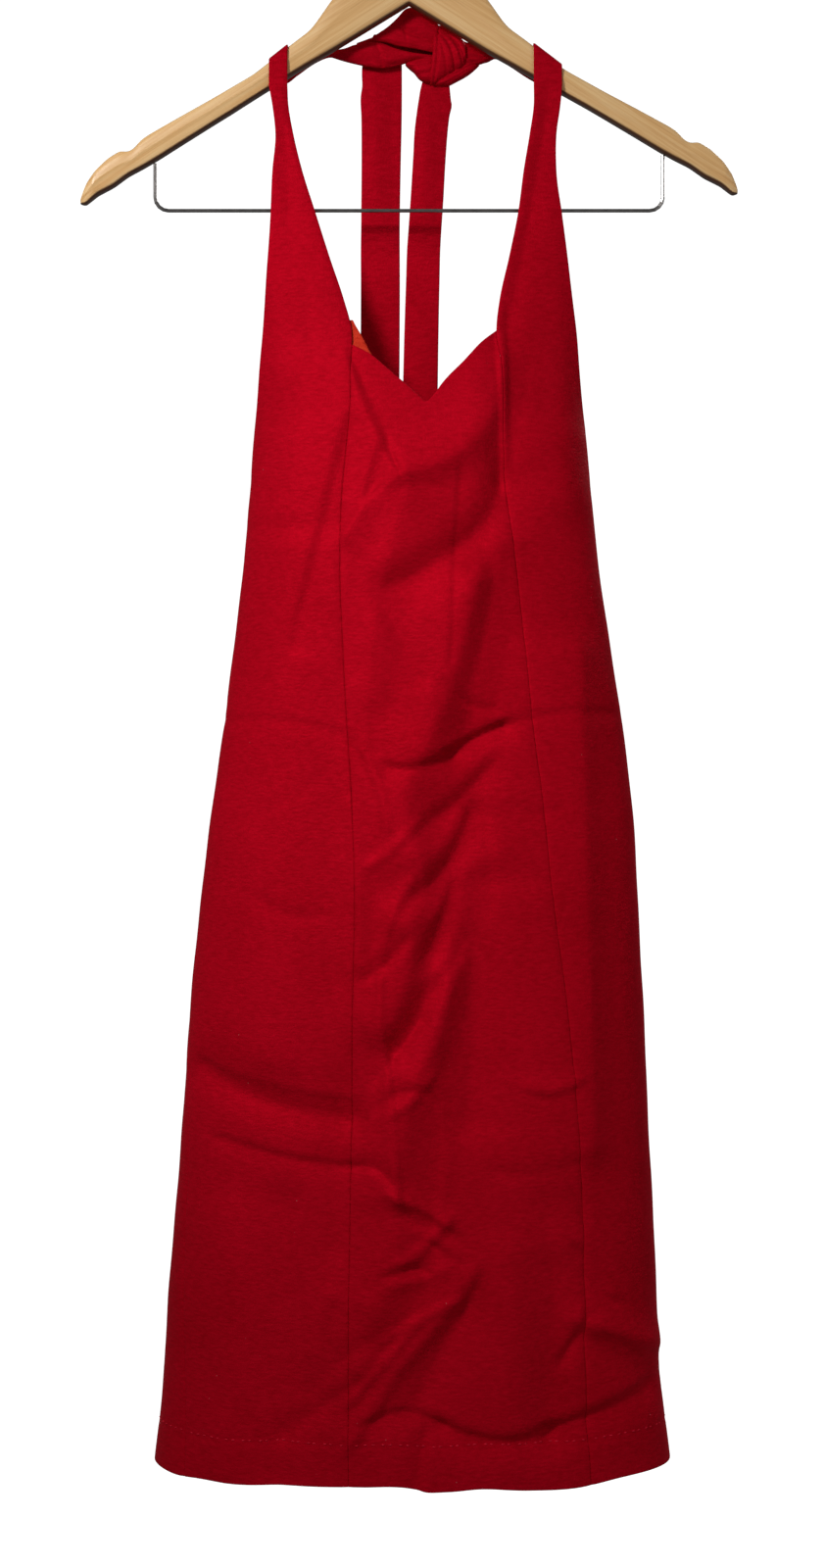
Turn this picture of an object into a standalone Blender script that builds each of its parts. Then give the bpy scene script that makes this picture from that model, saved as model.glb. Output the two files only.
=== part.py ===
"""A red crepe sheath dress with a halter neck, tied on a wooden hanger.

Metres, +Z up, +X to the viewer's right, and the front of the dress faces -Y.
The origin is the inner top of the hook that the hanger hangs by.
Every panel is a wall between two grids of points on one skin, which the rows of SECTIONS
shape and the rows of FRONT_FOLDS and BACK_FOLDS press into folds.
"""

import math
from collections import namedtuple

import bmesh
import bpy
import numpy as np
from mathutils import Matrix, Vector

MM = 0.001

# The cloth
WALL = 1.5
SEAM_GAP = 0.3
ROW_STEP = 18.0
FINITE_STEP = 1.0

# The heights of the dress, down from the hook
UNDERARM_Z = -391.0
HEM_Z = -1079.0
BACK_DIP = 14.0
STRAP_TOP_ROW_Z = -152.0

# The hanger
WOOD_THICK = 12.0
WOOD_BEVEL = 2.4
HANGER_TILT = 0.0157
BAR_RADIUS = 1.3
BAR_Z = -234.8
BAR_HALF = 172.0
BAR_CORNER = 9.0
BAR_SEAT = 1.2
HOOK_WIRE = 1.8
HOOK_INNER = 18.0
CROWN_TOP_Z = -66.0
CORNER_STEPS = 4

# The hook's bent shank, up from the wood, and the arc of its round top in degrees
ShankPoint = namedtuple("ShankPoint", "x z")
HOOK_SHANK = (
    ShankPoint(0.0, -50.0),
    ShankPoint(2.0, -43.5),
    ShankPoint(7.5, -37.6),
    ShankPoint(13.5, -32.0),
)
HOOK_ARC_START = -25
HOOK_ARC_END = 215
HOOK_ARC_STEP = 15

# The zip at the centre back
ZIP_Z = -420.0
SLIDER_STAND_OFF = 0.5
SLIDER_WIDE = 5.2
SLIDER_DEEP = 2.6
SLIDER_TALL = 8.5
EAR_THICK = 1.2
EAR_TALL = 3.2
EAR_DEEP = 2.6
EAR_ROOT = 1.0
PULL_LENGTH = 17.0
PULL_WIDTH = 6.0
PULL_ROUND = 3.0
PULL_NECK = 4.6
PULL_THICK = 1.2
PULL_ARC_STEPS = 12
PIN_RADIUS = 0.55
PIN_INSET = 0.3
EYE_RADIUS = 0.9
BARREL_RADIUS = 1.25
CUT_OVERLAP = 1.0

# One row for each section, from the strap at the hanger down to the hem.
# left, right: the outline; front, side, back: how far forward or back; wrap: the angle at which
# the outline lies, 90 where the section is closed; turn: how far the side seams have swung round;
# seam_left, seam_right: the princess seams, which are the inner edges of the straps higher up.
Section = namedtuple(
    "Section", "z left right front side back wrap turn seam_left seam_right"
)
SECTIONS = (
    Section(-152, -94.6, 103.3, -10.0, -8.9, 10, 60, 0, -82.0, 84.1),
    Section(-165, -92.3, 102.2, -11.0, -9.4, 10, 60, 0, -81.4, 84.1),
    Section(-185, -90.2, 99.5, -12.5, -10, 10, 60, 0, -78.1, 81.4),
    Section(-210, -92.2, 99.4, -15.0, -11, 10, 60, 0, -72.1, 77.3),
    Section(-240, -93.4, 102.6, -19.0, -12, 11, 60, 0, -62.8, 73.3),
    Section(-270, -95.3, 106.5, -23.0, -12, 12, 60, 0, -53.4, 67.2),
    Section(-300, -97.4, 110.3, -27.0, -11, 14, 60, 0, -43.5, 60.6),
    Section(-320, -99.0, 113.0, -30.0, -9, 16, 62, 0, -38.4, 58.4),
    Section(-345, -101.4, 115.3, -34.0, -6, 18, 68, 0, -38.6, 60.9),
    Section(-370, -103.3, 117.5, -37.5, -2, 20, 77, 0, -38.8, 61.9),
    Section(-391, -105.0, 119.7, -40.0, 2, 22, 90, 0, -41.0, 62.7),
    Section(-430, -108.0, 123.8, -44.0, 2, 27, 90, 0, -44.6, 65.8),
    Section(-480, -112.6, 129.2, -46.0, 2, 31, 90, 0, -45.6, 71.7),
    Section(-530, -118.6, 136.2, -45.5, 2, 34, 90, 0, -43.7, 76.8),
    Section(-580, -125.2, 144.4, -46.5, 2, 37, 90, 0, -41.0, 81.4),
    Section(-640, -134.1, 151.4, -50.0, 2, 43, 90, 0, -36.8, 88.8),
    Section(-700, -141.1, 155.4, -55.0, 2, 49, 90, 0, -35.2, 94.5),
    Section(-760, -147.8, 158.4, -59.0, 2, 54, 90, 0, -36.3, 102.3),
    Section(-830, -152.1, 161.3, -63.0, 2, 58, 90, 17, -37.5, 108.8),
    Section(-900, -157.7, 165.0, -66.0, 2, 61, 90, 25, -38.3, 114.1),
    Section(-970, -163.4, 168.3, -68.0, 2, 64, 90, 32, -39.0, 116.4),
    Section(-1030, -167.3, 171.6, -70.0, 2, 66, 90, 40, -39.1, 117.3),
    Section(-1079, -172.3, 176.9, -72.0, 2, 68, 90, 47, -39.2, 119.6),
)

# One row for each large fold: from (x0, z0) over (x1, z1) to (x2, z2), its height, which is
# below zero in a trough, and how wide it runs out to the left and to the right of its line.
Fold = namedtuple("Fold", "x0 z0 x1 z1 x2 z2 height wide_left wide_right")
FRONT_FOLDS = (
    Fold(-38, -334, -30, -376, -6, -416, 3.0, 14, 5),
    Fold(56, -350, 50, -398, 6, -405, 4.5, 12, 20),
    Fold(60, -384, 62, -450, -8, -491, -6.0, 18, 12),
    Fold(50, -478, 42, -524, 24, -590, -3.5, 16, 12),
    Fold(29, -512, 27, -560, 6, -612, 6.5, 14, 30),
    Fold(0, -632, 14, -690, -4, -750, 6.5, 14, 28),
    Fold(22, -768, 12, -818, -7, -870, 6.0, 14, 24),
    Fold(-8, -892, -4, -925, -36, -1004, 5.0, 16, 20),
    Fold(44, -656, 36, -740, 42, -830, -4.5, 26, 14),
    Fold(-112, -576, -40, -584, 8, -612, -2.4, 12, 14),
    Fold(14, -610, 50, -582, 130, -572, -2.6, 12, 12),
    Fold(-138, -817, -96, -842, -36, -844, -5.0, 18, 12),
    Fold(-124, -862, -60, -878, -10, -890, -3.0, 12, 12),
    Fold(39, -946, 24, -968, -8, -1000, 4.5, 14, 14),
    Fold(36, -1000, 24, -1030, 14, -1060, 3.0, 12, 12),
    Fold(120, -978, 140, -986, 158, -994, 3.0, 14, 12),
    Fold(-120, -930, -114, -1010, -122, -1079, 3.5, 24, 24),
    Fold(86, -900, 90, -990, 84, -1079, -3.5, 24, 24),
    Fold(112, -560, 115, -700, 119, -840, 3.5, 14, 26),
)
BACK_FOLDS = (
    Fold(-60, -440, -30, -520, -34, -600, 3.5, 22, 24),
    Fold(70, -450, 52, -540, 58, -620, 3.0, 24, 22),
    Fold(-120, -572, -40, -590, 30, -582, -3.0, 12, 14),
    Fold(20, -590, 70, -600, 130, -584, -2.6, 12, 12),
    Fold(-40, -610, -52, -760, -44, -900, 6.5, 34, 30),
    Fold(76, -630, 88, -780, 74, -940, 5.5, 30, 34),
    Fold(-140, -838, -50, -856, 40, -842, -5.0, 15, 16),
    Fold(30, -868, 80, -884, 150, -872, -4.0, 13, 14),
    Fold(-90, -930, -96, -1010, -88, -1079, 5.0, 28, 26),
    Fold(24, -920, 16, -1000, 22, -1079, 4.5, 28, 30),
    Fold(120, -940, 126, -1010, 120, -1079, 4.0, 24, 24),
)
FOLD_STEPS = 8
FOLD_END = 18.0
FOLD_SIDE_FADE = 0.28

# The top edge of the centre front, from the left princess seam over the V to the right one
NeckPoint = namedtuple("NeckPoint", "x z")
NECKLINE = (
    NeckPoint(-38.6, -331.0),
    NeckPoint(-33.6, -333.5),
    NeckPoint(-25.7, -338.0),
    NeckPoint(-14.6, -348.0),
    NeckPoint(-3.5, -358.2),
    NeckPoint(6.0, -367.5),
    NeckPoint(9.4, -370.3),
    NeckPoint(12.5, -368.0),
    NeckPoint(20.0, -357.5),
    NeckPoint(34.2, -342.6),
    NeckPoint(47.3, -329.3),
    NeckPoint(58.2, -321.0),
)
NECK_LOW_X = 9.4

# How many cells each panel is wide, and how many rows the part above the underarms has
FRONT_COLUMNS = 12
SIDE_COLUMNS = 6
BACK_COLUMNS = 8
FACING_COLUMNS = 3
BIB_ROWS = 5
FACING_THICK = 1.0
CREASE_ANGLE = 50.0

# The corner of the facing that shows behind the neckline: a row for each height
FacingRow = namedtuple("FacingRow", "z x0 x1")
FACING = (
    FacingRow(-317.5, -36.6, -34.6),
    FacingRow(-325.0, -37.4, -30.6),
    FacingRow(-333.0, -37.0, -26.8),
    FacingRow(-341.0, -34.0, -22.6),
)

# Half of the hanger's outline: the top from the middle outwards, then the underside back in
WoodPoint = namedtuple("WoodPoint", "x z")
WOOD_TOP = (
    WoodPoint(16, -67.0),
    WoodPoint(33, -72.5),
    WoodPoint(45, -82.0),
    WoodPoint(55, -95.5),
    WoodPoint(66, -111.5),
    WoodPoint(77, -119.6),
    WoodPoint(105, -141.4),
    WoodPoint(132, -156.8),
    WoodPoint(155, -169.3),
    WoodPoint(175, -180.4),
    WoodPoint(181.5, -184.6),
    WoodPoint(186, -190.4),
    WoodPoint(190.5, -192.6),
    WoodPoint(195.5, -191.6),
    WoodPoint(204, -196.8),
    WoodPoint(212.5, -205.0),
    WoodPoint(218.5, -213.5),
    WoodPoint(222.6, -224.0),
)
WOOD_UNDER = (
    WoodPoint(221.0, -229.3),
    WoodPoint(211, -221.5),
    WoodPoint(200, -216.0),
    WoodPoint(190, -208.6),
    WoodPoint(179, -203.0),
    WoodPoint(169, -197.2),
    WoodPoint(155, -188.5),
    WoodPoint(132, -174.4),
    WoodPoint(108, -160.0),
    WoodPoint(73, -137.6),
    WoodPoint(52, -126.8),
)
ARCH_Z = -96.6

# How a strap goes over the hanger: its height over the arm and its depth, on the wood's side
OverPoint = namedtuple("OverPoint", "rise y out_rise out_y")
STRAP_OVER = (
    OverPoint(-13.0, -6.5, -13.0, -8.3),
    OverPoint(-3.0, -6.4, -2.6, -7.9),
    OverPoint(-0.9, -5.6, 0.2, -6.8),
    OverPoint(0.45, -3.9, 1.95, -4.5),
    OverPoint(0.45, 3.9, 1.95, 4.5),
    OverPoint(-0.9, 5.6, 0.2, 6.8),
    OverPoint(-3.0, 6.4, -2.6, 7.9),
    OverPoint(-7.0, 6.6, -7.0, 8.1),
)

# The ties behind the hanger: the middle of the band, the way its width runs, and its size
BandPoint = namedtuple("BandPoint", "x y z wide_x wide_z width thick")
BAND_LEFT = (
    BandPoint(-88.3, 7.4, -137.4, 0.783, 0.622, 15.5, 1.4),
    BandPoint(-87.2, 8.0, -140.6, 0.70, 0.71, 14.0, 2.4),
    BandPoint(-83.6, 9.2, -140.6, 0.35, 0.94, 12.0, 3.4),
    BandPoint(-77.0, 10.2, -135.0, -0.15, 0.99, 10.5, 4.0),
    BandPoint(-64.0, 11.0, -125.8, -0.30, 0.95, 10.0, 4.4),
    BandPoint(-52.0, 11.4, -126.0, 0.0, 1.0, 9.0, 4.8),
    BandPoint(-42.0, 11.8, -128.2, 0.0, 1.0, 10.5, 5.0),
    BandPoint(-30.0, 12.0, -128.6, 0.0, 1.0, 14.5, 5.0),
    BandPoint(-18.0, 12.0, -128.8, 0.0, 1.0, 17.5, 5.0),
    BandPoint(-2.0, 12.6, -129.6, 0.0, 1.0, 11.0, 5.0),
    BandPoint(10.4, 13.0, -129.8, 0.0, 1.0, 9.0, 5.0),
)
BAND_RIGHT = (
    BandPoint(93.7, 7.4, -138.7, 0.795, -0.607, 23.0, 1.4),
    BandPoint(92.6, 8.0, -141.4, 0.70, -0.71, 18.0, 2.4),
    BandPoint(88.0, 9.2, -140.6, 0.30, -0.95, 12.5, 3.4),
    BandPoint(81.0, 10.2, -136.0, -0.15, -0.99, 11.0, 4.0),
    BandPoint(70.0, 11.0, -128.8, -0.25, -0.97, 10.0, 4.4),
    BandPoint(58.0, 11.8, -124.6, 0.0, -1.0, 9.5, 4.8),
    BandPoint(49.0, 12.6, -127.6, 0.0, -1.0, 12.0, 5.2),
    BandPoint(38.6, 13.4, -128.6, 0.0, -1.0, 17.0, 5.4),
)
BAND_SIDES = 8
KNOT_MIDDLE = (23.6, 14.2, -130.0)
KNOT_HALF = (13.6, 8.0, 17.4)
KNOT_LOBES = 5
KNOT_LOBE_DEPTH = 0.07

# The loop above the knot, where the left tail comes out and turns down: a row for each height
LoopRow = namedtuple("LoopRow", "z x0 x1 y")
TIE_LOOP = (
    LoopRow(-97.0, -8.0, 12.0, 6.4),
    LoopRow(-104.0, -12.5, 14.0, 8.8),
    LoopRow(-111.0, -18.5, 15.0, 10.4),
    LoopRow(-117.0, -22.0, 13.2, 10.8),
    LoopRow(-120.0, -8.0, 11.6, 10.8),
    LoopRow(-123.4, 1.6, 9.8, 10.8),
)

# The tails: a row for each height, the edges and the depth of the side that faces the front
TailRow = namedtuple("TailRow", "z x0 x1 y")
TAIL_LEFT = (
    TailRow(-112, -26.0, -6.4, 15.1),
    TailRow(-124, -30.5, -6.0, 15.4),
    TailRow(-140, -32.0, -5.8, 15.9),
    TailRow(-193, -32.2, -6.2, 18.4),
    TailRow(-248, -33.0, -6.4, 18.0),
    TailRow(-255, -33.1, -6.4, 19.2),
    TailRow(-310, -33.2, -6.4, 19.8),
    TailRow(-372, -33.6, -6.8, 20.4),
)
TAIL_RIGHT = (
    TailRow(-148.2, 8.8, 25.4, 14.0),
    TailRow(-156, 7.6, 27.6, 15.4),
    TailRow(-166, 5.6, 27.4, 16.6),
    TailRow(-193, 3.4, 25.0, 18.0),
    TailRow(-248, -0.8, 22.0, 18.2),
    TailRow(-255, -1.2, 21.6, 19.2),
    TailRow(-310, -3.2, 20.4, 19.8),
    TailRow(-378, -4.6, 19.4, 20.4),
)
TAIL_COLUMNS = 3

CLOTH_RED = (0.42, 0.004, 0.012, 1)
FACING_RED = (0.55, 0.03, 0.015, 1)
WOOD_TAN = (0.62, 0.42, 0.24, 1)
STEEL_GREY = (0.62, 0.62, 0.64, 1)

ZS = np.array([row.z for row in SECTIONS], float)
PHI = np.radians(np.linspace(-180, 180, 721))


def smooth(column, z):
    """A column of SECTIONS at height z, on a curve that passes through every row."""
    values = np.array([getattr(row, column) for row in SECTIONS], float)
    slopes = np.gradient(values, ZS)
    z = min(max(z, ZS[-1]), ZS[0])
    i = min(max(int(np.searchsorted(-ZS, -z, side="right")) - 1, 0), len(ZS) - 2)
    span = ZS[i + 1] - ZS[i]
    t = (z - ZS[i]) / span
    return (
        (2 * t**3 - 3 * t**2 + 1) * values[i]
        + (t**3 - 2 * t**2 + t) * span * slopes[i]
        + (3 * t**2 - 2 * t**3) * values[i + 1]
        + (t**3 - t**2) * span * slopes[i + 1]
    )


def fold_height(folds, x, z):
    """How far the folds push the skin out at the points x, z."""
    total = np.zeros_like(x)
    for fold in folds:
        t = np.linspace(0, 1, FOLD_STEPS + 1)
        px = (1 - t) ** 2 * fold.x0 + 2 * t * (1 - t) * fold.x1 + t**2 * fold.x2
        pz = (1 - t) ** 2 * fold.z0 + 2 * t * (1 - t) * fold.z1 + t**2 * fold.z2
        dx, dz = np.diff(px), np.diff(pz)
        length = np.hypot(dx, dz)
        rx = x[..., None] - px[:-1]
        rz = z[..., None] - pz[:-1]
        along = (rx * dx + rz * dz) / length
        clear = np.clip(along, 0, length)
        across = (dx * rz - dz * rx) / length
        past = np.abs(along - clear)
        away = np.hypot(across, past)
        nearest = np.argmin(away, axis=-1)[..., None]
        side = np.take_along_axis(across, nearest, -1)[..., 0]
        end = np.take_along_axis(past, nearest, -1)[..., 0]
        wide = np.where(side > 0, fold.wide_left, fold.wide_right)
        total += fold.height * np.exp(-((side / wide) ** 2) - (end / FOLD_END) ** 2)
    return total


class Ring:
    """The skin's section at one height: points, outward normals and arc lengths from the front."""

    made = {}

    def __init__(self, z):
        left, right = smooth("left", z), smooth("right", z)
        front, side, back = smooth("front", z), smooth("side", z), smooth("back", z)
        wrap = math.radians(min(smooth("wrap", z), 90))
        centre = (left + right) / 2
        half = (right - left) / 2 / math.sin(wrap)
        cosines = np.cos(PHI)
        bow = (cosines - math.cos(wrap)) / (1 - math.cos(wrap))
        depth = np.where(cosines >= math.cos(wrap), (front - side) * bow, -(back - side) * cosines)
        self.x = centre + half * np.sin(PHI)
        self.y = side + depth
        steps = np.hypot(np.diff(self.x), np.diff(self.y))
        arc = np.concatenate([[0], np.cumsum(steps)])
        self.arc = arc - arc[len(PHI) // 2]
        nx, ny = np.gradient(self.y), -np.gradient(self.x)
        size = np.hypot(nx, ny)
        self.nx, self.ny = nx / size, ny / size
        self.left_arc = np.interp(-wrap, PHI, self.arc)
        self.right_arc = np.interp(wrap, PHI, self.arc)

    def arc_at(self, x):
        """The arc length at which the front has this x."""
        front = slice(len(PHI) // 4, 3 * len(PHI) // 4 + 1)
        return np.interp(x, self.x[front], self.arc[front])

    @classmethod
    def at(cls, z):
        key = round(z, 4)
        if key not in cls.made:
            cls.made[key] = cls(z)
        return cls.made[key]


def skin(z, arc):
    """The outer points of the cloth at heights z and arc lengths arc, folds included."""
    points = np.empty(z.shape + (3,))
    normals = np.empty(z.shape + (2,))
    for spot in np.ndindex(z.shape):
        ring = Ring.at(z[spot])
        whole = ring.arc[-1] - ring.arc[0]
        place = (arc[spot] - ring.arc[0]) % whole + ring.arc[0]
        points[spot][0] = np.interp(place, ring.arc, ring.x)
        points[spot][1] = np.interp(place, ring.arc, ring.y)
        normals[spot][0] = np.interp(place, ring.arc, ring.nx)
        normals[spot][1] = np.interp(place, ring.arc, ring.ny)
    points[..., 2] = z
    front = np.clip(0.5 - normals[..., 1] / (2 * FOLD_SIDE_FADE), 0, 1)
    out = front * fold_height(FRONT_FOLDS, points[..., 0], z)
    out += (1 - front) * fold_height(BACK_FOLDS, points[..., 0], z)
    points[..., :2] += normals * out[..., None]
    return points


def skin_normals(z, arc):
    """The way the cloth faces at those places."""
    low = np.maximum(z - FINITE_STEP, HEM_Z)
    high = np.minimum(z + FINITE_STEP, STRAP_TOP_ROW_Z)
    along = skin(z, arc + FINITE_STEP) - skin(z, arc - FINITE_STEP)
    up = skin(high, arc) - skin(low, arc)
    facing = np.cross(along, up)
    return facing / np.linalg.norm(facing, axis=-1)[..., None]


def material(name, colour, roughness, metallic=0.0):
    made = bpy.data.materials.new(name)
    made.use_nodes = True
    shader = made.node_tree.nodes["Principled BSDF"]
    shader.inputs["Base Color"].default_value = colour
    shader.inputs["Roughness"].default_value = roughness
    shader.inputs["Metallic"].default_value = metallic
    return made


def add(name, mesh, finish):
    thing = bpy.data.objects.new(name, mesh)
    thing.data.materials.append(finish)
    bpy.data.collections[COLLECTION].objects.link(thing)
    return thing


def wall(name, outer, inner, finish):
    """A closed slab between two grids of points with as many rows and columns each."""
    mesh = bmesh.new()
    grids = [
        [[mesh.verts.new(Vector(point) * MM) for point in row] for row in grid]
        for grid in (outer, inner)
    ]
    rows, columns = len(outer), len(outer[0])
    for grid in grids:
        for i in range(rows - 1):
            for j in range(columns - 1):
                mesh.faces.new((grid[i][j], grid[i][j + 1], grid[i + 1][j + 1], grid[i + 1][j]))
    rim = [(0, j) for j in range(columns - 1)]
    rim += [(i, columns - 1) for i in range(rows - 1)]
    rim += [(rows - 1, j) for j in range(columns - 1, 0, -1)]
    rim += [(i, 0) for i in range(rows - 1, 0, -1)]
    for here, there in zip(rim, rim[1:] + rim[:1]):
        a, b = (grids[0][i][j] for i, j in (here, there))
        c, d = (grids[1][i][j] for i, j in (there, here))
        mesh.faces.new((a, b, c, d))
    bmesh.ops.recalc_face_normals(mesh, faces=mesh.faces)
    data = bpy.data.meshes.new(name)
    mesh.to_mesh(data)
    mesh.free()
    data.shade_smooth()
    data.set_sharp_from_angle(angle=math.radians(CREASE_ANGLE))
    return add(name, data, finish)


def grids_on_skin(rows, inset=0.0, thick=WALL):
    """Outer and inner grids for rows of (z, arc) pairs, the outer one moved in by inset."""
    spots = np.array(rows, float)
    points = skin(spots[..., 0], spots[..., 1])
    normals = skin_normals(spots[..., 0], spots[..., 1])
    return list(points - normals * inset), list(points - normals * (inset + thick))


def heights(top, bottom=HEM_Z):
    count = max(1, round((top - bottom) / ROW_STEP))
    return [top + (bottom - top) * i / count for i in range(count + 1)]


def side_seam(ring, z, which):
    """The arc length of the left or right side seam."""
    edge = ring.left_arc if which == "left" else ring.right_arc
    return edge + max(smooth("turn", z), 0)


def spread(start, end, columns):
    """Places from start to end, held back by half a seam gap at each."""
    start, end = start + SEAM_GAP / 2, end - SEAM_GAP / 2
    return [start + (end - start) * j / columns for j in range(columns + 1)]


def centre_front():
    """The middle panel: it hangs from the neckline, between the two princess seams."""
    neck_x = [point.x for point in NECKLINE]
    neck_z = [point.z for point in NECKLINE]
    shares = np.linspace(0, 1, FRONT_COLUMNS + 1)
    shares[FRONT_COLUMNS // 2] = np.interp(NECK_LOW_X, (neck_x[0], neck_x[-1]), (0, 1))
    rows = []
    for i in range(BIB_ROWS):
        row = []
        for share in shares:
            top = np.interp(neck_x[0] + share * (neck_x[-1] - neck_x[0]), neck_x, neck_z)
            z = top + (UNDERARM_Z - top) * i / BIB_ROWS
            ring = Ring.at(z)
            left = ring.arc_at(smooth("seam_left", z)) + SEAM_GAP / 2
            right = ring.arc_at(smooth("seam_right", z)) - SEAM_GAP / 2
            row.append((z, left + share * (right - left)))
        rows.append(row)
    for z in heights(UNDERARM_Z):
        ring = Ring.at(z)
        left = ring.arc_at(smooth("seam_left", z)) + SEAM_GAP / 2
        right = ring.arc_at(smooth("seam_right", z)) - SEAM_GAP / 2
        rows.append([(z, left + share * (right - left)) for share in shares])
    wall("centre_front", *grids_on_skin(rows), CREPE)


def arm_top(x):
    """The height of the hanger's upper edge at x."""
    return np.interp(abs(x), [p.x for p in WOOD_TOP], [p.z for p in WOOD_TOP]) + HANGER_TILT * x


def side_front(which):
    """A side panel with its strap, which goes up and over the hanger's arm in one piece."""
    down = heights(STRAP_TOP_ROW_Z, UNDERARM_Z)[:-1] + heights(UNDERARM_Z)
    rows = []
    for z in down:
        ring = Ring.at(z)
        seam = ring.arc_at(smooth("seam_" + which, z))
        edge = side_seam(ring, z, which)
        rows.append([(z, arc) for arc in spread(*sorted((seam, edge)), SIDE_COLUMNS)])
    outer, inner = grids_on_skin(rows)
    top = outer[0]
    for place in STRAP_OVER:
        outer.insert(0, [(p[0], place.out_y, arm_top(p[0]) + place.out_rise) for p in top])
        inner.insert(0, [(p[0], place.y, arm_top(p[0]) + place.rise) for p in top])
    wall("side_front_" + which, outer, inner, CREPE)


def back(which):
    """A back panel, from the side seam to the zip at the centre back, cut low at the top."""
    rows = []
    for base in heights(UNDERARM_Z):
        row = []
        for j in range(BACK_COLUMNS + 1):
            share = j / BACK_COLUMNS
            dip = BACK_DIP * math.sin(share * math.pi / 2) ** 2
            z = base - dip * (HEM_Z - base) / (HEM_Z - UNDERARM_Z)
            ring = Ring.at(z)
            half = ring.arc[-1] + max(smooth("turn", z), 0)
            if which == "left":
                start = side_seam(ring, z, "left") - SEAM_GAP / 2
                end = half + 2 * ring.arc[0] + SEAM_GAP / 2
            else:
                start = side_seam(ring, z, "right") + SEAM_GAP / 2
                end = half - SEAM_GAP / 2
            row.append((z, start + share * (end - start)))
        rows.append(row)
    wall("back_" + which, *grids_on_skin(rows), CREPE)


def neck_facing():
    """The corner of the neckline's facing, just inside the centre front."""
    rows = []
    for row in FACING:
        ring = Ring.at(row.z)
        ends = ring.arc_at(row.x0), ring.arc_at(row.x1)
        rows.append([(row.z, arc) for arc in np.linspace(*ends, FACING_COLUMNS + 1)])
    grids = grids_on_skin(rows, inset=WALL + SEAM_GAP, thick=FACING_THICK)
    wall("neck_facing", *grids, FACING_CREPE)


def ribbon(name, rows, thick, finish):
    """A flat hanging strip: rows of edges and the depth of its front side."""
    outer, inner = [], []
    for row in rows:
        xs = np.linspace(row.x0, row.x1, TAIL_COLUMNS + 1)
        outer.append([(x, row.y, row.z) for x in xs])
        inner.append([(x, row.y + thick, row.z) for x in xs])
    wall(name, outer, inner, finish)


def band(name, points):
    """A tie band: a section with flat sides, carried along its points."""
    mesh = bmesh.new()
    middles = [Vector((p.x, p.y, p.z)) for p in points]
    rings = []
    for i, p in enumerate(points):
        ahead = middles[min(i + 1, len(points) - 1)] - middles[max(i - 1, 0)]
        wide = Vector((p.wide_x, 0, p.wide_z)).normalized()
        thin = wide.cross(ahead).normalized()
        ring = []
        reach = 1 / math.cos(math.pi / BAND_SIDES)
        for k in range(BAND_SIDES):
            angle = math.tau * (k + 0.5) / BAND_SIDES
            offset = wide * (math.cos(angle) * reach * p.width / 2)
            offset += thin * (math.sin(angle) * reach * p.thick / 2)
            ring.append(mesh.verts.new((middles[i] + offset) * MM))
        rings.append(ring)
    for a, b in zip(rings, rings[1:]):
        for k in range(BAND_SIDES):
            after = (k + 1) % BAND_SIDES
            mesh.faces.new((a[k], a[after], b[after], b[k]))
    mesh.faces.new(rings[0])
    mesh.faces.new(rings[-1])
    bmesh.ops.recalc_face_normals(mesh, faces=mesh.faces)
    data = bpy.data.meshes.new(name)
    mesh.to_mesh(data)
    mesh.free()
    data.shade_smooth()
    add(name, data, CREPE)


def knot():
    """The knot: a ball of cloth with the wraps round it as lobes."""
    mesh = bmesh.new()
    bmesh.ops.create_uvsphere(mesh, u_segments=20, v_segments=12, radius=1)
    for vertex in mesh.verts:
        turn = math.atan2(vertex.co.z, vertex.co.x)
        lobes = 1 + KNOT_LOBE_DEPTH * math.cos(KNOT_LOBES * turn) * (1 - vertex.co.y**2)
        vertex.co = Vector(
            (m + c * h * lobes for m, c, h in zip(KNOT_MIDDLE, vertex.co, KNOT_HALF))
        )
        vertex.co *= MM
    data = bpy.data.meshes.new("neck_knot")
    mesh.to_mesh(data)
    mesh.free()
    data.shade_smooth()
    add("neck_knot", data, CREPE)


def hanger_wood():
    """The wooden hanger, its flat outline extruded and its edges rounded."""
    curve = bpy.data.curves.new("hanger_wood", "CURVE")
    curve.dimensions = "2D"
    curve.fill_mode = "BOTH"
    curve.extrude = (WOOD_THICK / 2 - WOOD_BEVEL) * MM
    curve.bevel_depth = WOOD_BEVEL * MM
    curve.bevel_resolution = 1
    curve.offset = -WOOD_BEVEL * MM
    half = [(p.x, p.z) for p in WOOD_TOP + WOOD_UNDER]
    outline = [(0, CROWN_TOP_Z)] + half + [(0, ARCH_Z)] + [(-x, z) for x, z in half[::-1]]
    spline = curve.splines.new("POLY")
    spline.points.add(len(outline) - 1)
    for point, (x, z) in zip(spline.points, outline):
        point.co = (x * MM, (z + HANGER_TILT * x) * MM, 0, 1)
    spline.use_cyclic_u = True
    wood = add("hanger_wood", curve, WOOD)
    wood.rotation_euler = (math.pi / 2, 0, 0)


def wire(name, points, radius, finish):
    curve = bpy.data.curves.new(name, "CURVE")
    curve.dimensions = "3D"
    curve.bevel_depth = radius * MM
    curve.bevel_resolution = 2
    curve.use_fill_caps = True
    spline = curve.splines.new("POLY")
    spline.points.add(len(points) - 1)
    for point, (x, y, z) in zip(spline.points, points):
        point.co = (x * MM, y * MM, z * MM, 1)
    return add(name, curve, finish)


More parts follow.
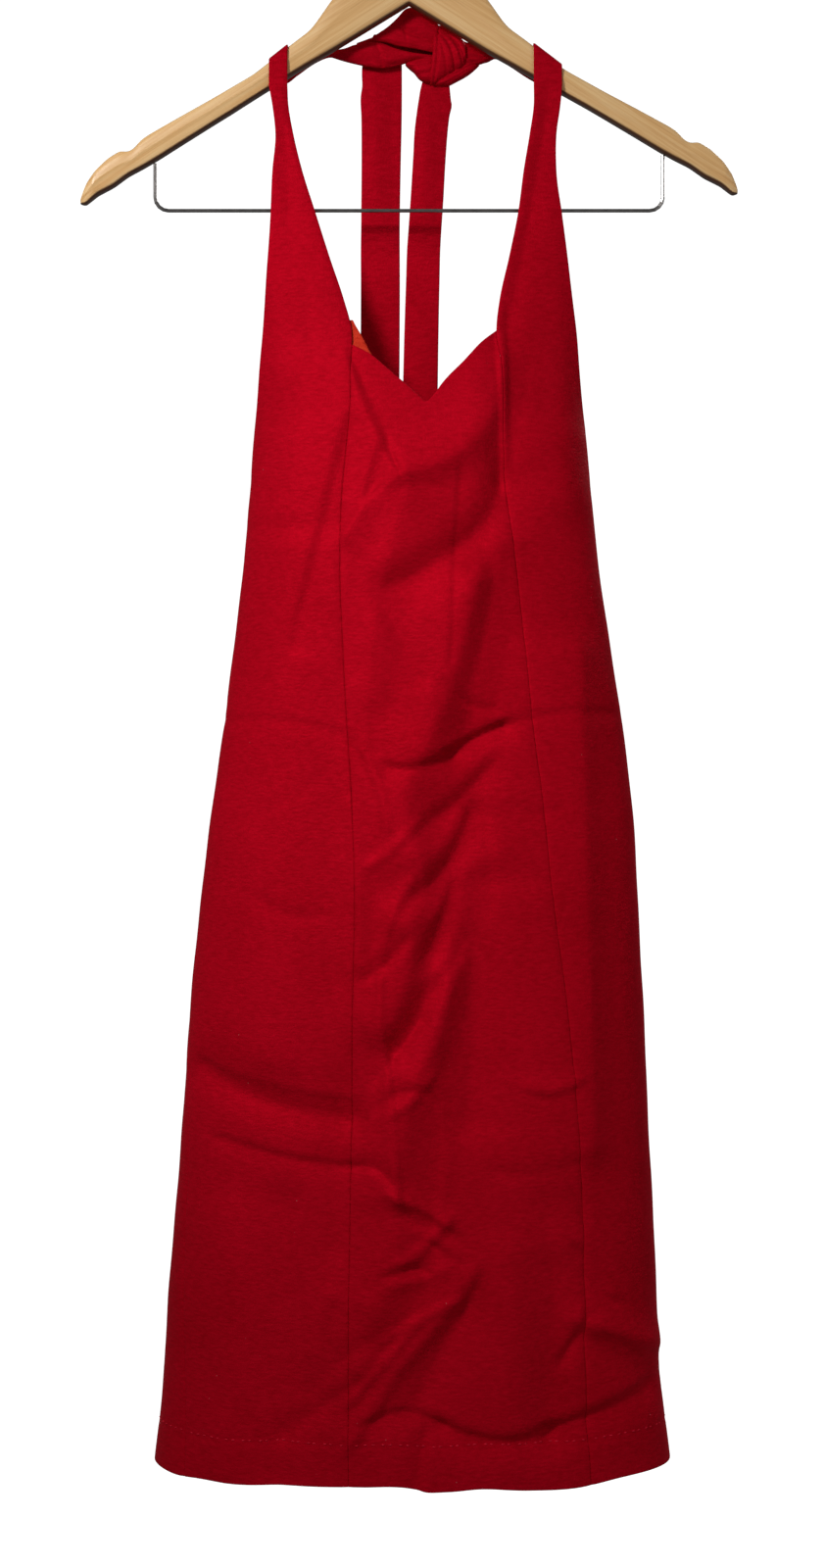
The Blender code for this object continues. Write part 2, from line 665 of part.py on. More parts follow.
def hanger_hook():
    """The hook: a shank that swings out to one side and round over the top."""
    radius = HOOK_INNER + HOOK_WIRE
    points = [(0, 0, CROWN_TOP_Z + SEAM_GAP)] + [(p.x, 0, p.z) for p in HOOK_SHANK]
    for degrees in range(HOOK_ARC_START, HOOK_ARC_END + 1, HOOK_ARC_STEP):
        angle = math.radians(degrees)
        points.append((radius * math.cos(angle), 0, radius * math.sin(angle) - HOOK_INNER))
    wire("hanger_hook", points, HOOK_WIRE, STEEL)


def hanger_bar():
    """The trouser bar: a rod across the hanger, turned up into its arms."""
    leg_top = {}
    for side in (-1, 1):
        under = np.interp(
            BAR_HALF,
            [p.x for p in WOOD_UNDER[::-1]],
            [p.z for p in WOOD_UNDER[::-1]],
        )
        leg_top[side] = under + HANGER_TILT * side * BAR_HALF - BAR_SEAT
    points = []
    for side in (-1, 1):
        leg = [(side * BAR_HALF, 0, leg_top[side])]
        for step in range(CORNER_STEPS + 1):
            angle = math.radians(90 * step / CORNER_STEPS)
            x = BAR_HALF - BAR_CORNER * (1 - math.cos(angle))
            leg.append((side * x, 0, BAR_Z + BAR_CORNER * (1 - math.sin(angle))))
        points += leg if side < 0 else leg[::-1]
    wire("hanger_bar", points, BAR_RADIUS, STEEL)


def boxed(mesh, size, middle):
    made = bmesh.ops.create_cube(mesh, size=1)
    bmesh.ops.scale(mesh, verts=made["verts"], vec=size)
    bmesh.ops.translate(mesh, verts=made["verts"], vec=middle)


def rod_mesh(name, radius, length, middle):
    """A cylinder along X as an object."""
    mesh = bmesh.new()
    bmesh.ops.create_cone(
        mesh,
        cap_ends=True,
        segments=12,
        radius1=radius * MM,
        radius2=radius * MM,
        depth=length * MM,
        matrix=Matrix.Translation(Vector(middle) * MM) @ Matrix.Rotation(math.pi / 2, 4, "Y"),
    )
    data = bpy.data.meshes.new(name)
    mesh.to_mesh(data)
    mesh.free()
    return data


def joined(target, tool, operation):
    change = target.modifiers.new(tool.name, "BOOLEAN")
    change.object = tool
    change.operation = operation


def tool_object(name, data):
    made = bpy.data.objects.new(name, data)
    bpy.data.collections[CUTTERS].objects.link(made)
    made.hide_render = True
    made.display_type = "WIRE"
    return made


def zip_parts():
    """The slider of the concealed zip and the pull that swings on its pin."""
    ring = Ring.at(ZIP_Z)
    seat = Vector(skin(np.array([ZIP_Z]), ring.arc[-1:])[0])
    x, y, z = seat.x, seat.y + SLIDER_STAND_OFF, seat.z
    pin_y = y + SLIDER_DEEP + EAR_DEEP / 2
    mesh = bmesh.new()
    body = Vector((SLIDER_WIDE, SLIDER_DEEP, SLIDER_TALL)) * MM
    boxed(mesh, body, Vector((x, y + SLIDER_DEEP / 2, z)) * MM)
    data = bpy.data.meshes.new("zip_slider")
    mesh.to_mesh(data)
    mesh.free()
    slider = add("zip_slider", data, DYED_METAL)
    for side in (-1, 1):
        ear = bmesh.new()
        ear_x = x + side * (SLIDER_WIDE - EAR_THICK) / 2
        ear_size = Vector((EAR_THICK, EAR_DEEP + EAR_ROOT, EAR_TALL)) * MM
        boxed(ear, ear_size, Vector((ear_x, pin_y - EAR_ROOT / 2, z)) * MM)
        ear_data = bpy.data.meshes.new("slider_ear")
        ear.to_mesh(ear_data)
        ear.free()
        joined(slider, tool_object("slider_ear" + ("_a", "_b")[side > 0], ear_data), "UNION")
    pin_long = SLIDER_WIDE - 2 * PIN_INSET
    pin = tool_object("slider_pin", rod_mesh("slider_pin", PIN_RADIUS, pin_long, (x, pin_y, z)))
    joined(slider, pin, "UNION")

    tongue = SLIDER_WIDE - 2 * EAR_THICK - 2 * SEAM_GAP
    plate = bpy.data.curves.new("zip_pull", "CURVE")
    plate.dimensions = "2D"
    plate.fill_mode = "BOTH"
    plate.extrude = PULL_THICK / 2 * MM
    outline = []
    for step in range(PULL_ARC_STEPS + 1):
        angle = math.pi * step / PULL_ARC_STEPS
        down = PULL_LENGTH - PULL_ROUND + PULL_ROUND * math.sin(angle)
        outline.append((PULL_WIDTH / 2 * math.cos(angle), down))
    outline += [(-tongue / 2, PULL_NECK), (-tongue / 2, -EYE_RADIUS)]
    outline += [(tongue / 2, -EYE_RADIUS), (tongue / 2, PULL_NECK)]
    spline = plate.splines.new("POLY")
    spline.points.add(len(outline) - 1)
    for point, (across, down) in zip(spline.points, outline):
        point.co = (across * MM, -down * MM, 0, 1)
    spline.use_cyclic_u = True
    flat = bpy.data.objects.new("pull_outline", plate)
    bpy.data.collections[COLLECTION].objects.link(flat)
    bpy.context.view_layer.update()
    shape = flat.evaluated_get(bpy.context.evaluated_depsgraph_get())
    data = bpy.data.meshes.new_from_object(shape)
    bpy.data.objects.remove(flat)
    weld = bmesh.new()
    weld.from_mesh(data)
    bmesh.ops.remove_doubles(weld, verts=weld.verts, dist=1e-6)
    weld.to_mesh(data)
    weld.free()
    pull = add("zip_pull", data, DYED_METAL)
    pull.location = Vector((x, pin_y, z)) * MM
    pull.rotation_euler = (math.pi / 2, 0, 0)
    middle = (x, pin_y, z)
    barrel = tool_object("pull_barrel", rod_mesh("pull_barrel", BARREL_RADIUS, tongue, middle))
    joined(pull, barrel, "UNION")
    hole_long = tongue + 2 * CUT_OVERLAP
    hole = tool_object("pull_hole", rod_mesh("pull_hole", EYE_RADIUS, hole_long, middle))
    joined(pull, hole, "DIFFERENCE")


for thing in list(bpy.data.objects):
    bpy.data.objects.remove(thing)
COLLECTION, CUTTERS = "sheath_dress", "cutters"
for title in (COLLECTION, CUTTERS):
    bpy.context.scene.collection.children.link(bpy.data.collections.new(title))
CREPE = material("red_crepe", CLOTH_RED, 0.85)
FACING_CREPE = material("facing", FACING_RED, 0.8)
WOOD = material("pale_wood", WOOD_TAN, 0.5)
STEEL = material("steel", STEEL_GREY, 0.3, 1.0)
DYED_METAL = material("dyed_metal", CLOTH_RED, 0.4, 0.3)

centre_front()
for which in ("left", "right"):
    side_front(which)
    back(which)
neck_facing()
band("neck_tie_left", BAND_LEFT)
band("neck_tie_right", BAND_RIGHT)
knot()
ribbon("tie_loop", TIE_LOOP, WALL, CREPE)
ribbon("tail_left", TAIL_LEFT, WALL, CREPE)
ribbon("tail_right", TAIL_RIGHT, WALL, CREPE)
hanger_wood()
hanger_hook()
hanger_bar()
zip_parts()
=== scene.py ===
"""The looks of a red crepe sheath dress that hangs by its tied straps on a wooden hanger.

Shapes are worked out in millimetres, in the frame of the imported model, and scaled by MM.
Every panel is a thin shell on one skin, which SECTIONS shapes and the fold tables press.
"""

import math
from collections import namedtuple
from functools import lru_cache

import bmesh
import bpy
import numpy as np
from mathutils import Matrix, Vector


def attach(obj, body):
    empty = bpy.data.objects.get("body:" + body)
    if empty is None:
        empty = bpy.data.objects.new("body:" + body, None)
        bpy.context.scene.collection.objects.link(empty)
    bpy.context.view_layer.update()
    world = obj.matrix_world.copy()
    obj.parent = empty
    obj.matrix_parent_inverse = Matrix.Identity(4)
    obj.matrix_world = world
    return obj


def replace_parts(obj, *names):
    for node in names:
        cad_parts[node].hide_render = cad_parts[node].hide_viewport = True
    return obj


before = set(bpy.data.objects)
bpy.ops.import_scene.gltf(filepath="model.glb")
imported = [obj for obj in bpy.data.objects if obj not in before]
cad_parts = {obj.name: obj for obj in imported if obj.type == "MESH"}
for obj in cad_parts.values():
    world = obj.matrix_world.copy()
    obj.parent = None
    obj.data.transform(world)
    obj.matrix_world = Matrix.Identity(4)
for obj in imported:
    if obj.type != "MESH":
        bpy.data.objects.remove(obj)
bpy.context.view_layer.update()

MM = 0.001
BODY = "dress"
TINY = 1e-9

# The photograph's camera: how far it stands from the hanger, and where it points
CAMERA_AWAY = 1500.0
CAMERA_X = 2.0
CAMERA_Z = -623.2
VIEW_TALL = 1062.4

# The cloth as it looks: thickness, the fineness of its grid and the roundness of its edges
CLOTH = 1.25
SKIN_TO_MIDDLE = 0.75
CELL_WIDE = 2.2
CELL_TALL = 2.2
BACK_CELL = 3.4
# About how wide each cut piece is, to share out its columns
CENTRE_WIDE = 165.0
SIDE_WIDE = 85.0
BACK_WIDE = 190.0
EDGE_STEPS = (0.0, 0.12, 0.4, 0.9, 1.6)
EDGE_ROUND = 0.9
EDGE_LEAST = 0.01
SEAM_DIP = 0.55
SEAM_WIDE = 2.2
HEM_DEEP = 27.0
HEM_STITCH_DIP = 0.35
HEM_STITCH_WIDE = 1.6
# Where the hem is turned up the cloth is thicker inside, from a step above it to its rounded foot
HEM_THICKER = 1.0
HEM_STEP = 0.8
HEM_ROUND = 1.5
# Any height above the hem that its turned-up cloth and its stitches don't reach
FAR_FROM_HEM = 900.0
# How strong the cloth's shallow waves are
UNEVEN = 0.8

UNDERARM_Z = -391.0
HEM_Z = -1079.0
BACK_DIP = 14.0
STRAP_TOP_ROW_Z = -152.0
HANGER_TILT = 0.0157


def table(kind, *rows):
    """Rows of numbers as tuples with names."""
    return tuple(kind(*row) for row in rows)


Point = namedtuple("Point", "x z")

# One row for each section, from the strap at the hanger down to the hem.
# left, right: the outline; front, side, back: how far forward or back; wrap: the angle at which
# the outline lies, 90 where the section is closed; turn: how far the side seams have swung round;
# seam_left, seam_right: the princess seams, which are the inner edges of the straps higher up.
Section = namedtuple("Section", "z left right front side back wrap turn seam_left seam_right")
SECTIONS = table(
    Section,
    (-152, -94.6, 103.3, -10.0, -8.9, 10, 60, 0, -82.0, 84.1),
    (-165, -92.3, 102.2, -11.0, -9.4, 10, 60, 0, -81.4, 84.1),
    (-185, -90.2, 99.5, -12.5, -10, 10, 60, 0, -78.1, 81.4),
    (-210, -92.2, 99.4, -15.0, -11, 10, 60, 0, -72.1, 77.3),
    (-240, -93.4, 102.6, -19.0, -12, 11, 60, 0, -62.8, 73.3),
    (-270, -95.3, 106.5, -23.0, -12, 12, 60, 0, -53.4, 67.2),
    (-300, -97.4, 110.3, -27.0, -11, 14, 60, 0, -43.5, 60.6),
    (-320, -99.0, 113.0, -30.0, -9, 16, 62, 0, -38.4, 58.4),
    (-345, -101.4, 115.3, -34.0, -6, 18, 68, 0, -38.6, 60.9),
    (-370, -103.3, 117.5, -37.5, -2, 20, 77, 0, -38.8, 61.9),
    (-391, -105.0, 119.7, -40.0, 2, 22, 90, 0, -41.0, 62.7),
    (-430, -108.0, 123.8, -44.0, 2, 27, 90, 0, -44.6, 65.8),
    (-480, -112.6, 129.2, -46.0, 2, 31, 90, 0, -45.6, 71.7),
    (-530, -118.6, 136.2, -45.5, 2, 34, 90, 0, -43.7, 76.8),
    (-580, -125.2, 144.4, -46.5, 2, 37, 90, 0, -41.0, 81.4),
    (-640, -134.1, 151.4, -50.0, 2, 43, 90, 0, -36.8, 88.8),
    (-700, -141.1, 155.4, -55.0, 2, 49, 90, 0, -35.2, 94.5),
    (-760, -147.8, 158.4, -59.0, 2, 54, 90, 0, -36.3, 102.3),
    (-830, -152.1, 161.3, -63.0, 2, 58, 90, 17, -37.5, 108.8),
    (-900, -157.7, 165.0, -66.0, 2, 61, 90, 25, -38.3, 114.1),
    (-970, -163.4, 168.3, -68.0, 2, 64, 90, 32, -39.0, 116.4),
    (-1030, -167.3, 171.6, -70.0, 2, 66, 90, 40, -39.1, 117.3),
    (-1079, -172.3, 176.9, -72.0, 2, 68, 90, 47, -39.2, 119.6),
)
RING_STEPS = 720
# Above this wrap a section is closed behind as well
CLOSED_WRAP = math.radians(89.5)

# One row for each fold or crease: from (x0, z0) over (x1, z1) to (x2, z2), its height, which is
# below zero in a trough, and how wide it runs out to the left and to the right of its line, as
# one who walks along it sees them.
Fold = namedtuple("Fold", "x0 z0 x1 z1 x2 z2 height wide_left wide_right")
FRONT_FORMS = table(
    Fold,
    (-37, -348, -21, -388, -6, -416, 2.8, 2.2, 15),
    (60, -345, 60, -404, 0, -417, 6.3, 11, 20),
    (63, -424, 56, -464, -8, -491, -6.0, 18, 10),
    (-2, -436, -22, -500, -26, -566, 3.6, 26, 12),
    (60, -474, 54, -528, 38, -586, -3.4, 20, 14),
    (42, -492, 30, -552, 10, -600, 8.2, 14, 30),
    (10, -600, -12, -632, 4, -668, 9.2, 16, 30),
    (4, -668, 16, -696, 0, -714, 8.4, 13, 26),
    (0, -714, 4, -744, -14, -780, 7.8, 13, 26),
    (50, -616, 36, -633, 19, -645, -4.5, 14, 6),
    (40, -645, 33, -672, 12, -691, -6.2, 16, 7),
    (28, -691, 22, -715, 14, -731, -5.0, 14, 6),
    (36, -728, 22, -752, -8, -790, -4.0, 7, 10),
    (25, -750, 21, -790, 4, -818, 6.6, 9, 13),
    (4, -818, -6, -842, -8, -888, 7.4, 13, 20),
    (44, -690, 46, -770, 40, -840, -5.5, 30, 14),
    (-9, -890, -2, -922, -20, -962, 5.3, 12, 22),
    (-20, -962, -28, -988, -38, -1010, 4.0, 12, 18),
    (39, -944, 26, -966, -5, -998, 4.0, 5.6, 12),
    (-5, -998, -16, -1018, -35, -1046, 3.2, 4, 10),
    (36, -964, 22, -992, 4, -1022, -3.4, 14, 9),
    (120, -978, 140, -985, 156, -994, 4.0, 9, 5),
    (124, -994, 142, -1006, 156, -1014, -3.5, 11, 13),
    (112, -540, 115, -700, 119, -860, 4.5, 11, 28),
    (92, -700, 98, -800, 98, -920, 3.0, 22, 34),
    (-74, -470, -84, -640, -92, -800, 3.4, 24, 30),
    (-26, -560, -34, -650, -28, -740, 3.2, 26, 14),
    (-118, -910, -112, -1000, -120, -1070, 3.4, 20, 24),
    (-82, -900, -76, -970, -86, -1070, -3.4, 16, 18),
    (64, -930, 72, -1000, 64, -1060, 3.0, 18, 20),
    (92, -900, 96, -980, 90, -1040, -2.6, 18, 16),
    (-60, -290, -70, -360, -78, -440, 2.2, 20, 26),
    (92, -170, 84, -236, 66, -316, -1.6, 7, 6),
    (66, -316, 66, -370, 70, -450, -2.4, 8, 4),
    (98, -240, 100, -330, 104, -430, 2.0, 14, 16),
    (-84, -190, -80, -260, -72, -330, -1.4, 7, 10),
    (60, -470, 58, -510, 44, -560, 2.8, 10, 12),
    (-40, -820, -50, -870, -46, -920, -2.4, 14, 16),
)
FRONT_CREASES = table(
    Fold,
    (-37, -346, -21, -388, -6, -418, -1.9, 2.4, 1.6),
    (-5, -419, -22, -430, -42, -458, 2.8, 12, 3.0),
    (33, -418, 30, -478, 27, -540, -0.9, 5, 1.6),
    (-41, -386, -56, -450, -76, -530, -1.8, 14, 3),
    (-20, -396, -30, -422, -32, -438, 1.7, 3.5, 10),
    (-18, -505, -2, -532, 6, -553, -1.5, 5, 6),
    (57, -328, 58, -372, 62, -424, -2.8, 2.0, 9),
    (-12, -612, 8, -615, 26, -603, -2.8, 2.4, 7),
    (26, -603, 42, -592, 62, -584, -4.9, 2.6, 12),
    (-119, -580, -60, -576, -24, -602, -0.7, 2.6, 6),
    (62, -584, 90, -574, 134, -575, -1.1, 2.6, 6),
    (-18, -752, -18, -812, -10, -878, 1.9, 2.4, 3.4),
    (0, -690, -12, -706, -16, -730, 2.0, 3, 4),
    (-4, -728, -14, -742, -24, -748, -2.0, 3, 5),
    (8, -778, -6, -796, -18, -812, -2.3, 3, 4),
    (-16, -830, -6, -820, 6, -822, -1.8, 3, 4),
    (-138, -812, -98, -838, -34, -841, -5.1, 13, 11),
    (-134, -806, -96, -822, -40, -826, 0.9, 5, 2.4),
    (-124, -857, -80, -869, -35, -872, -2.0, 2.0, 8),
    (-35, -872, -18, -869, -6, -888, -2.8, 6, 2.0),
    (78, -822, 94, -827, 108, -819, 1.9, 7, 2.2),
    (-6, -892, 10, -898, 24, -908, 3.1, 7, 2.4),
    (-2, -903, 8, -912, 15, -921, -2.8, 4, 5),
    (23, -908, 14, -922, -4, -934, 2.6, 3.4, 4),
    (-11, -940, 0, -933, 9, -938, -2.6, 2.6, 4),
    (-4, -946, 10, -944, 22, -938, 1.8, 4, 5),
    (-35, -1012, -58, -1028, -83, -1047, -3.1, 7, 8),
    (-26, -984, -50, -1000, -66, -1018, -2.2, 7, 7),
    (-52, -956, -60, -972, -64, -992, 1.5, 5, 7),
    (-26, -1036, -4, -1023, 22, -1037, -2.6, 2.2, 8),
    (22, -1037, 56, -1057, 91, -1043, -4.1, 3.4, 12),
    (91, -1043, 130, -1034, 160, -1024, -3.6, 3.2, 12),
    (117, -975, 112, -985, 103, -998, -3.1, 5, 4),
    (112, -930, 120, -938, 128, -950, -1.5, 5, 6),
    (10, -1046, 7, -1062, 6, -1079, -3.1, 3, 7),
    (60, -876, 84, -880, 108, -872, -1.0, 5, 6),
    (72, -640, 84, -646, 96, -640, -0.9, 4, 6),
    (-96, -700, -80, -712, -62, -710, -0.9, 4, 6),
    (-60, -622, -84, -640, -110, -646, -0.4, 4, 6),
    (-15, -800, -9, -836, -7, -888, 2.0, 2.0, 2.2),
    (14, -813, 6, -826, -6, -834, 1.8, 3.0, 2.2),
    (7, -915, 18, -918, 29, -926, 1.9, 4.0, 2.4),
    (30, -958, 10, -966, -12, -980, 1.7, 3.4, 2.0),
    (3, -975, -14, -996, -36, -1021, 2.3, 2.4, 2.6),
    (103, -880, 110, -890, 113, -904, -0.9, 2.4, 2.4),
    (118, -948, 128, -962, 138, -966, -1.5, 3.0, 3.0),
    (22, -838, 28, -866, 20, -896, 1.0, 5.0, 3.0),
    (46, -640, 56, -668, 54, -704, -0.9, 4.0, 8.0),
    (-38, -640, -30, -690, -34, -740, 1.5, 5.0, 4.0),
    (-30, -600, -18, -620, -14, -648, 1.5, 4.0, 3.0),
    (4, -650, -10, -668, -24, -676, 1.7, 3.0, 3.4),
    (26, -560, 34, -572, 56, -574, -1.5, 3.4, 3.4),
)
BACK_FORMS = table(
    Fold,
    (-60, -440, -30, -520, -34, -600, 3.5, 22, 24),
    (70, -450, 52, -540, 58, -620, 3.0, 24, 22),
    (-40, -610, -52, -760, -44, -900, 6.0, 26, 14),
    (76, -630, 88, -780, 74, -940, 5.5, 14, 30),
    (12, -640, 4, -700, 16, -780, -3.4, 16, 12),
    (-90, -930, -96, -1010, -88, -1079, 4.5, 24, 18),
    (24, -920, 16, -1000, 22, -1079, 4.5, 18, 26),
    (120, -940, 126, -1010, 120, -1079, 4.0, 20, 24),
    (-34, -930, -28, -1010, -36, -1079, -3.0, 16, 14),
    (70, -920, 74, -1000, 68, -1079, -3.0, 14, 16),
)
BACK_CREASES = table(
    Fold,
    (-104, -420, -70, -448, -30, -452, -1.8, 4, 10),
    (118, -424, 84, -452, 44, -458, -1.6, 10, 4),
    (-120, -572, -40, -592, 30, -582, -2.6, 3, 9),
    (20, -590, 70, -602, 134, -582, -2.4, 3, 9),
    (-110, -600, -40, -620, 20, -606, -1.4, 10, 14),
    (-140, -838, -50, -858, 40, -842, -4.4, 15, 4),
    (30, -868, 80, -886, 150, -870, -3.2, 12, 3),
    (-130, -880, -70, -892, -20, -880, -2.2, 8, 3),
    (-60, -1020, -20, -1040, 30, -1030, -2.0, 9, 3),
    (-20, -520, -6, -560, -2, -600, 1.4, 4, 8),
    (110, -700, 96, -742, 80, -770, -1.6, 4, 8),
    (-100, -700, -84, -740, -66, -760, -1.6, 8, 4),
    (40, -980, 60, -996, 84, -1002, 1.6, 3, 8),
)
# How far a form and a crease run out at their ends, and how sharply the highest form leads
FORM_END = 16.0
CREASE_END = 7.0
FORM_BLEND = 4
FOLD_STEPS = 8
FOLD_REACH = 3
# How sharp a fold's crest is and how it runs out to the sides
CREST_ROUND = 0.34
CREST_FALL = 1.2
FOOT_FALL = 0.12
# How gradually the front's folds give way to those behind
FOLD_SIDE_FADE = 0.28

# How much the hem hangs below its level, from the left to the right of the front
HemPoint = namedtuple("HemPoint", "x drop")
HEM_DROPS = table(
    HemPoint,
    (-172, 1.0), (-155, 2.6), (-139, 1.4), (-110, 1.5), (-75, 0.0), (-30, -1.4), (-3, -1.4),
    (9, 1.4), (26, 1.6), (47, 0.2), (77, 2.4), (108, 3.6), (141, 0.6), (177, 0.0),
)
HEM_DROP_REACH = 90.0
HEM_BACK_DROP = 0.6
HEM_BACK_WAVE = 1.6
HEM_BACK_LENGTH = 31.0
# The hem's stitches: how far apart, how long, thick and proud they are
STITCH_EVERY = 5.6
STITCH_LONG = 2.6
STITCH_THICK = 0.42
STITCH_LIFT = 0.72
STITCH_SIDES = 6
STITCH_SHARES = (0.08, 0.3, 0.5, 0.7, 0.92)
STITCH_STRAY = 0.9
STITCH_STRAY_TURN = 1.7
STITCH_AHEAD = 2
# Each panel adds the points of its stitched row, and the way that they face
HEM_ROWS = []

# The top edge of the centre front, from the left princess seam over the V to the right one
NECKLINE = table(
    Point,
    (-38.6, -331.0), (-33.6, -333.5), (-25.7, -338.0), (-14.6, -348.0), (-3.5, -358.2),
    (6.0, -367.5), (9.4, -370.3), (12.5, -368.0), (20.0, -357.5), (34.2, -342.6), (47.3, -329.3),
    (58.2, -321.0),
)
NECK_V_X = 9.4
BIB_TALL = 60.0
BIB_ROWS = 20

# The facing's corner: its edges at each height, how far behind the skin and how thick it is
FacingRow = namedtuple("FacingRow", "z x0 x1")
FACING = table(
    FacingRow,
    (-314.0, -40.4, -37.4), (-318.0, -40.8, -35.4), (-325.0, -41.2, -31.4), (-333.0, -41.6, -27.4),
    (-341.0, -41.0, -22.8), (-347.0, -40.0, -18.6),
)
FACING_ROWS = 24
FACING_COLUMNS = 12
FACING_BEHIND = 2.4
FACING_HALF = 0.4

# Half of the hanger's outline: its upper and its lower edge, from the middle outwards
WOOD_TOP = table(
    Point,
    (0, -66.0), (16, -67.0), (33, -72.5), (45, -82.0), (55, -95.5), (66, -111.5), (77, -119.6),
    (105, -141.4), (132, -156.8), (155, -169.3), (175, -180.4), (181.5, -184.6), (186, -190.4),
    (190.5, -192.6), (195.5, -191.6), (204, -196.8), (212.5, -205.0), (218.5, -213.5),
    (222.4, -224.0),
)
WOOD_UNDER = table(
    Point,
    (0, -95.8), (52, -127.6), (73, -139.4), (108, -160.0), (132, -174.4), (155, -188.5),
    (169, -197.2), (179, -203.0), (190, -208.6), (200, -216.0), (211, -221.5), (219, -228.0),
    (222.4, -227.0),
)
# The wood's cross-section: how far down from the upper edge, and how far forward
WoodDepth = namedtuple("WoodDepth", "down y")
WOOD_FACE = table(
    WoodDepth,
    (0.0, 1.6), (0.025, 3.4), (0.07, 4.7), (0.14, 5.4), (0.30, 5.8), (0.46, 6.0), (0.50, 6.0),
    (0.54, 5.7), (0.70, 5.3), (0.86, 5.1), (0.94, 4.4), (0.98, 3.2), (1.0, 1.6),
)
WOOD_STATIONS = 260
WOOD_HALF = 222.4
# How the stations crowd towards the tips, and the wood's least height
WOOD_CROWD = 1.35
WOOD_LEAST = 1.2
# The underside is level up to here, and tilts with the hanger from twice as far out
WOOD_LEVEL = 60
# How long the rounded tip is, and how thin it ends
WOOD_TIP = 9.0
WOOD_TIP_SHARE = 0.35

# How a strap goes over the hanger: the middle of the cloth, its rise over the arm and its depth
OverPoint = namedtuple("OverPoint", "rise y")
STRAP_OVER = table(
    OverPoint,
    (-24.0, -7.9), (-13.0, -7.4), (-5.0, -7.2), (-1.6, -6.9), (0.5, -5.4), (1.25, -3.0), (1.3, 0.0),
    (1.25, 3.0), (0.5, 5.4), (-1.6, 6.9), (-5.0, 7.25), (-8.5, 7.4),
)
OVER_STEPS = 44
OVER_BLEND = 12.0
# Where the rows over the arm leave the strap's first row: how far back and how far above it
OVER_BACK = 0.6
OVER_ABOVE = 1.5
OVER_ROW = 0.3

# The ties behind the hanger: the middle of the band, the way its width runs, and its size
BandPoint = namedtuple("BandPoint", "x y z wide_x wide_z width thick")
BAND_LEFT = table(
    BandPoint,
    (-88.3, 7.4, -136.6, 0.783, 0.622, 15.5, 1.4),
    (-87.2, 8.0, -140.2, 0.70, 0.71, 14.0, 2.4),
    (-83.6, 9.2, -140.6, 0.35, 0.94, 12.0, 3.4),
    (-77.0, 10.2, -135.0, -0.15, 0.99, 10.5, 4.0),
    (-64.0, 11.0, -125.8, -0.30, 0.95, 10.0, 4.4),
    (-54.0, 11.6, -124.2, 0.0, 1.0, 6.0, 4.6),
    (-46.0, 12.0, -125.2, 0.0, 1.0, 6.0, 4.6),
)
BAND_RIGHT = table(
    BandPoint,
    (93.7, 7.4, -138.0, 0.795, -0.607, 23.0, 1.4),
    (92.6, 8.0, -141.0, 0.70, -0.71, 18.0, 2.4),
    (88.0, 9.2, -140.6, 0.30, -0.95, 12.5, 3.4),
    (81.0, 10.2, -136.0, -0.15, -0.99, 11.0, 4.0),
    (70.0, 11.0, -128.8, -0.25, -0.97, 10.0, 4.4),
    (59.0, 12.0, -124.6, 0.0, -1.0, 7.0, 4.8),
    (50.0, 13.0, -126.4, 0.0, -1.0, 6.5, 4.8),
)
# Creases on a band: where along it, from start to end, and across it, and how deep
BandCrease = namedtuple("BandCrease", "along0 across0 along1 across1 depth wide")
CREASES_LEFT = table(
    BandCrease,
    (0.42, 0.9, 0.62, -0.7, -0.9, 0.10),
    (0.56, 0.8, 0.66, 0.0, -0.7, 0.07),
    (0.36, 0.1, 0.60, 0.75, -0.8, 0.09),
    (0.62, -0.9, 0.92, -0.1, -0.9, 0.10),
    (0.70, 0.8, 0.95, 0.3, -0.8, 0.10),
    (0.20, 0.5, 0.40, -0.3, -0.8, 0.10),
)
CREASES_RIGHT = table(
    BandCrease,
    (0.55, 0.7, 0.90, -0.2, -1.0, 0.10),
    (0.62, -0.7, 0.95, 0.4, -0.9, 0.10),
    (0.50, 0.0, 0.72, 0.6, -0.8, 0.08),
    (0.25, 0.3, 0.50, -0.4, -0.8, 0.10),
)
BAND_STEPS = 150
BAND_AROUND = 48
BAND_SQUARE = 0.75
BAND_FADE = 0.04
BAND_LEAN = 0.12

# The knot's pieces of cloth, each a pressed pillow between an upper and a lower edge, with points
# of both at each station: where its middle lies in depth, how far it bulges to either side, and
# the creases on it
Station = namedtuple("Station", "upper_x upper_z lower_x lower_z")
Pillow = namedtuple("Pillow", "name stations y bulge creases")
SPINDLE = Pillow(
    "knot_spindle",
    table(
        Station,
        (-56.0, -122.5, -56.0, -126.0), (-45.3, -121.4, -45.0, -129.4),
        (-38.0, -118.8, -36.9, -131.4), (-28.6, -117.2, -28.6, -133.2),
        (-20.3, -117.0, -19.0, -134.4), (-8.6, -121.3, -7.0, -132.2), (4.0, -124.2, 4.0, -129.0),
        (20.0, -126.0, 20.0, -129.0),
    ),
    12.0,
    3.6,
    table(
        Fold,
        (-22, -120, -19, -124, -18, -132, -1.1, 0.9, 2.2),
        (-40, -120, -30, -121, -21, -118, -0.9, 1.4, 1.2),
        (-50, -126, -30, -122, -12, -124, 0.7, 1.8, 2.6),
        (-12, -133, 0, -129, 14, -127, -0.8, 1.4, 1.4),
        (-34, -131, -24, -130, -14, -132, -0.5, 1.6, 1.6),
    ),
)
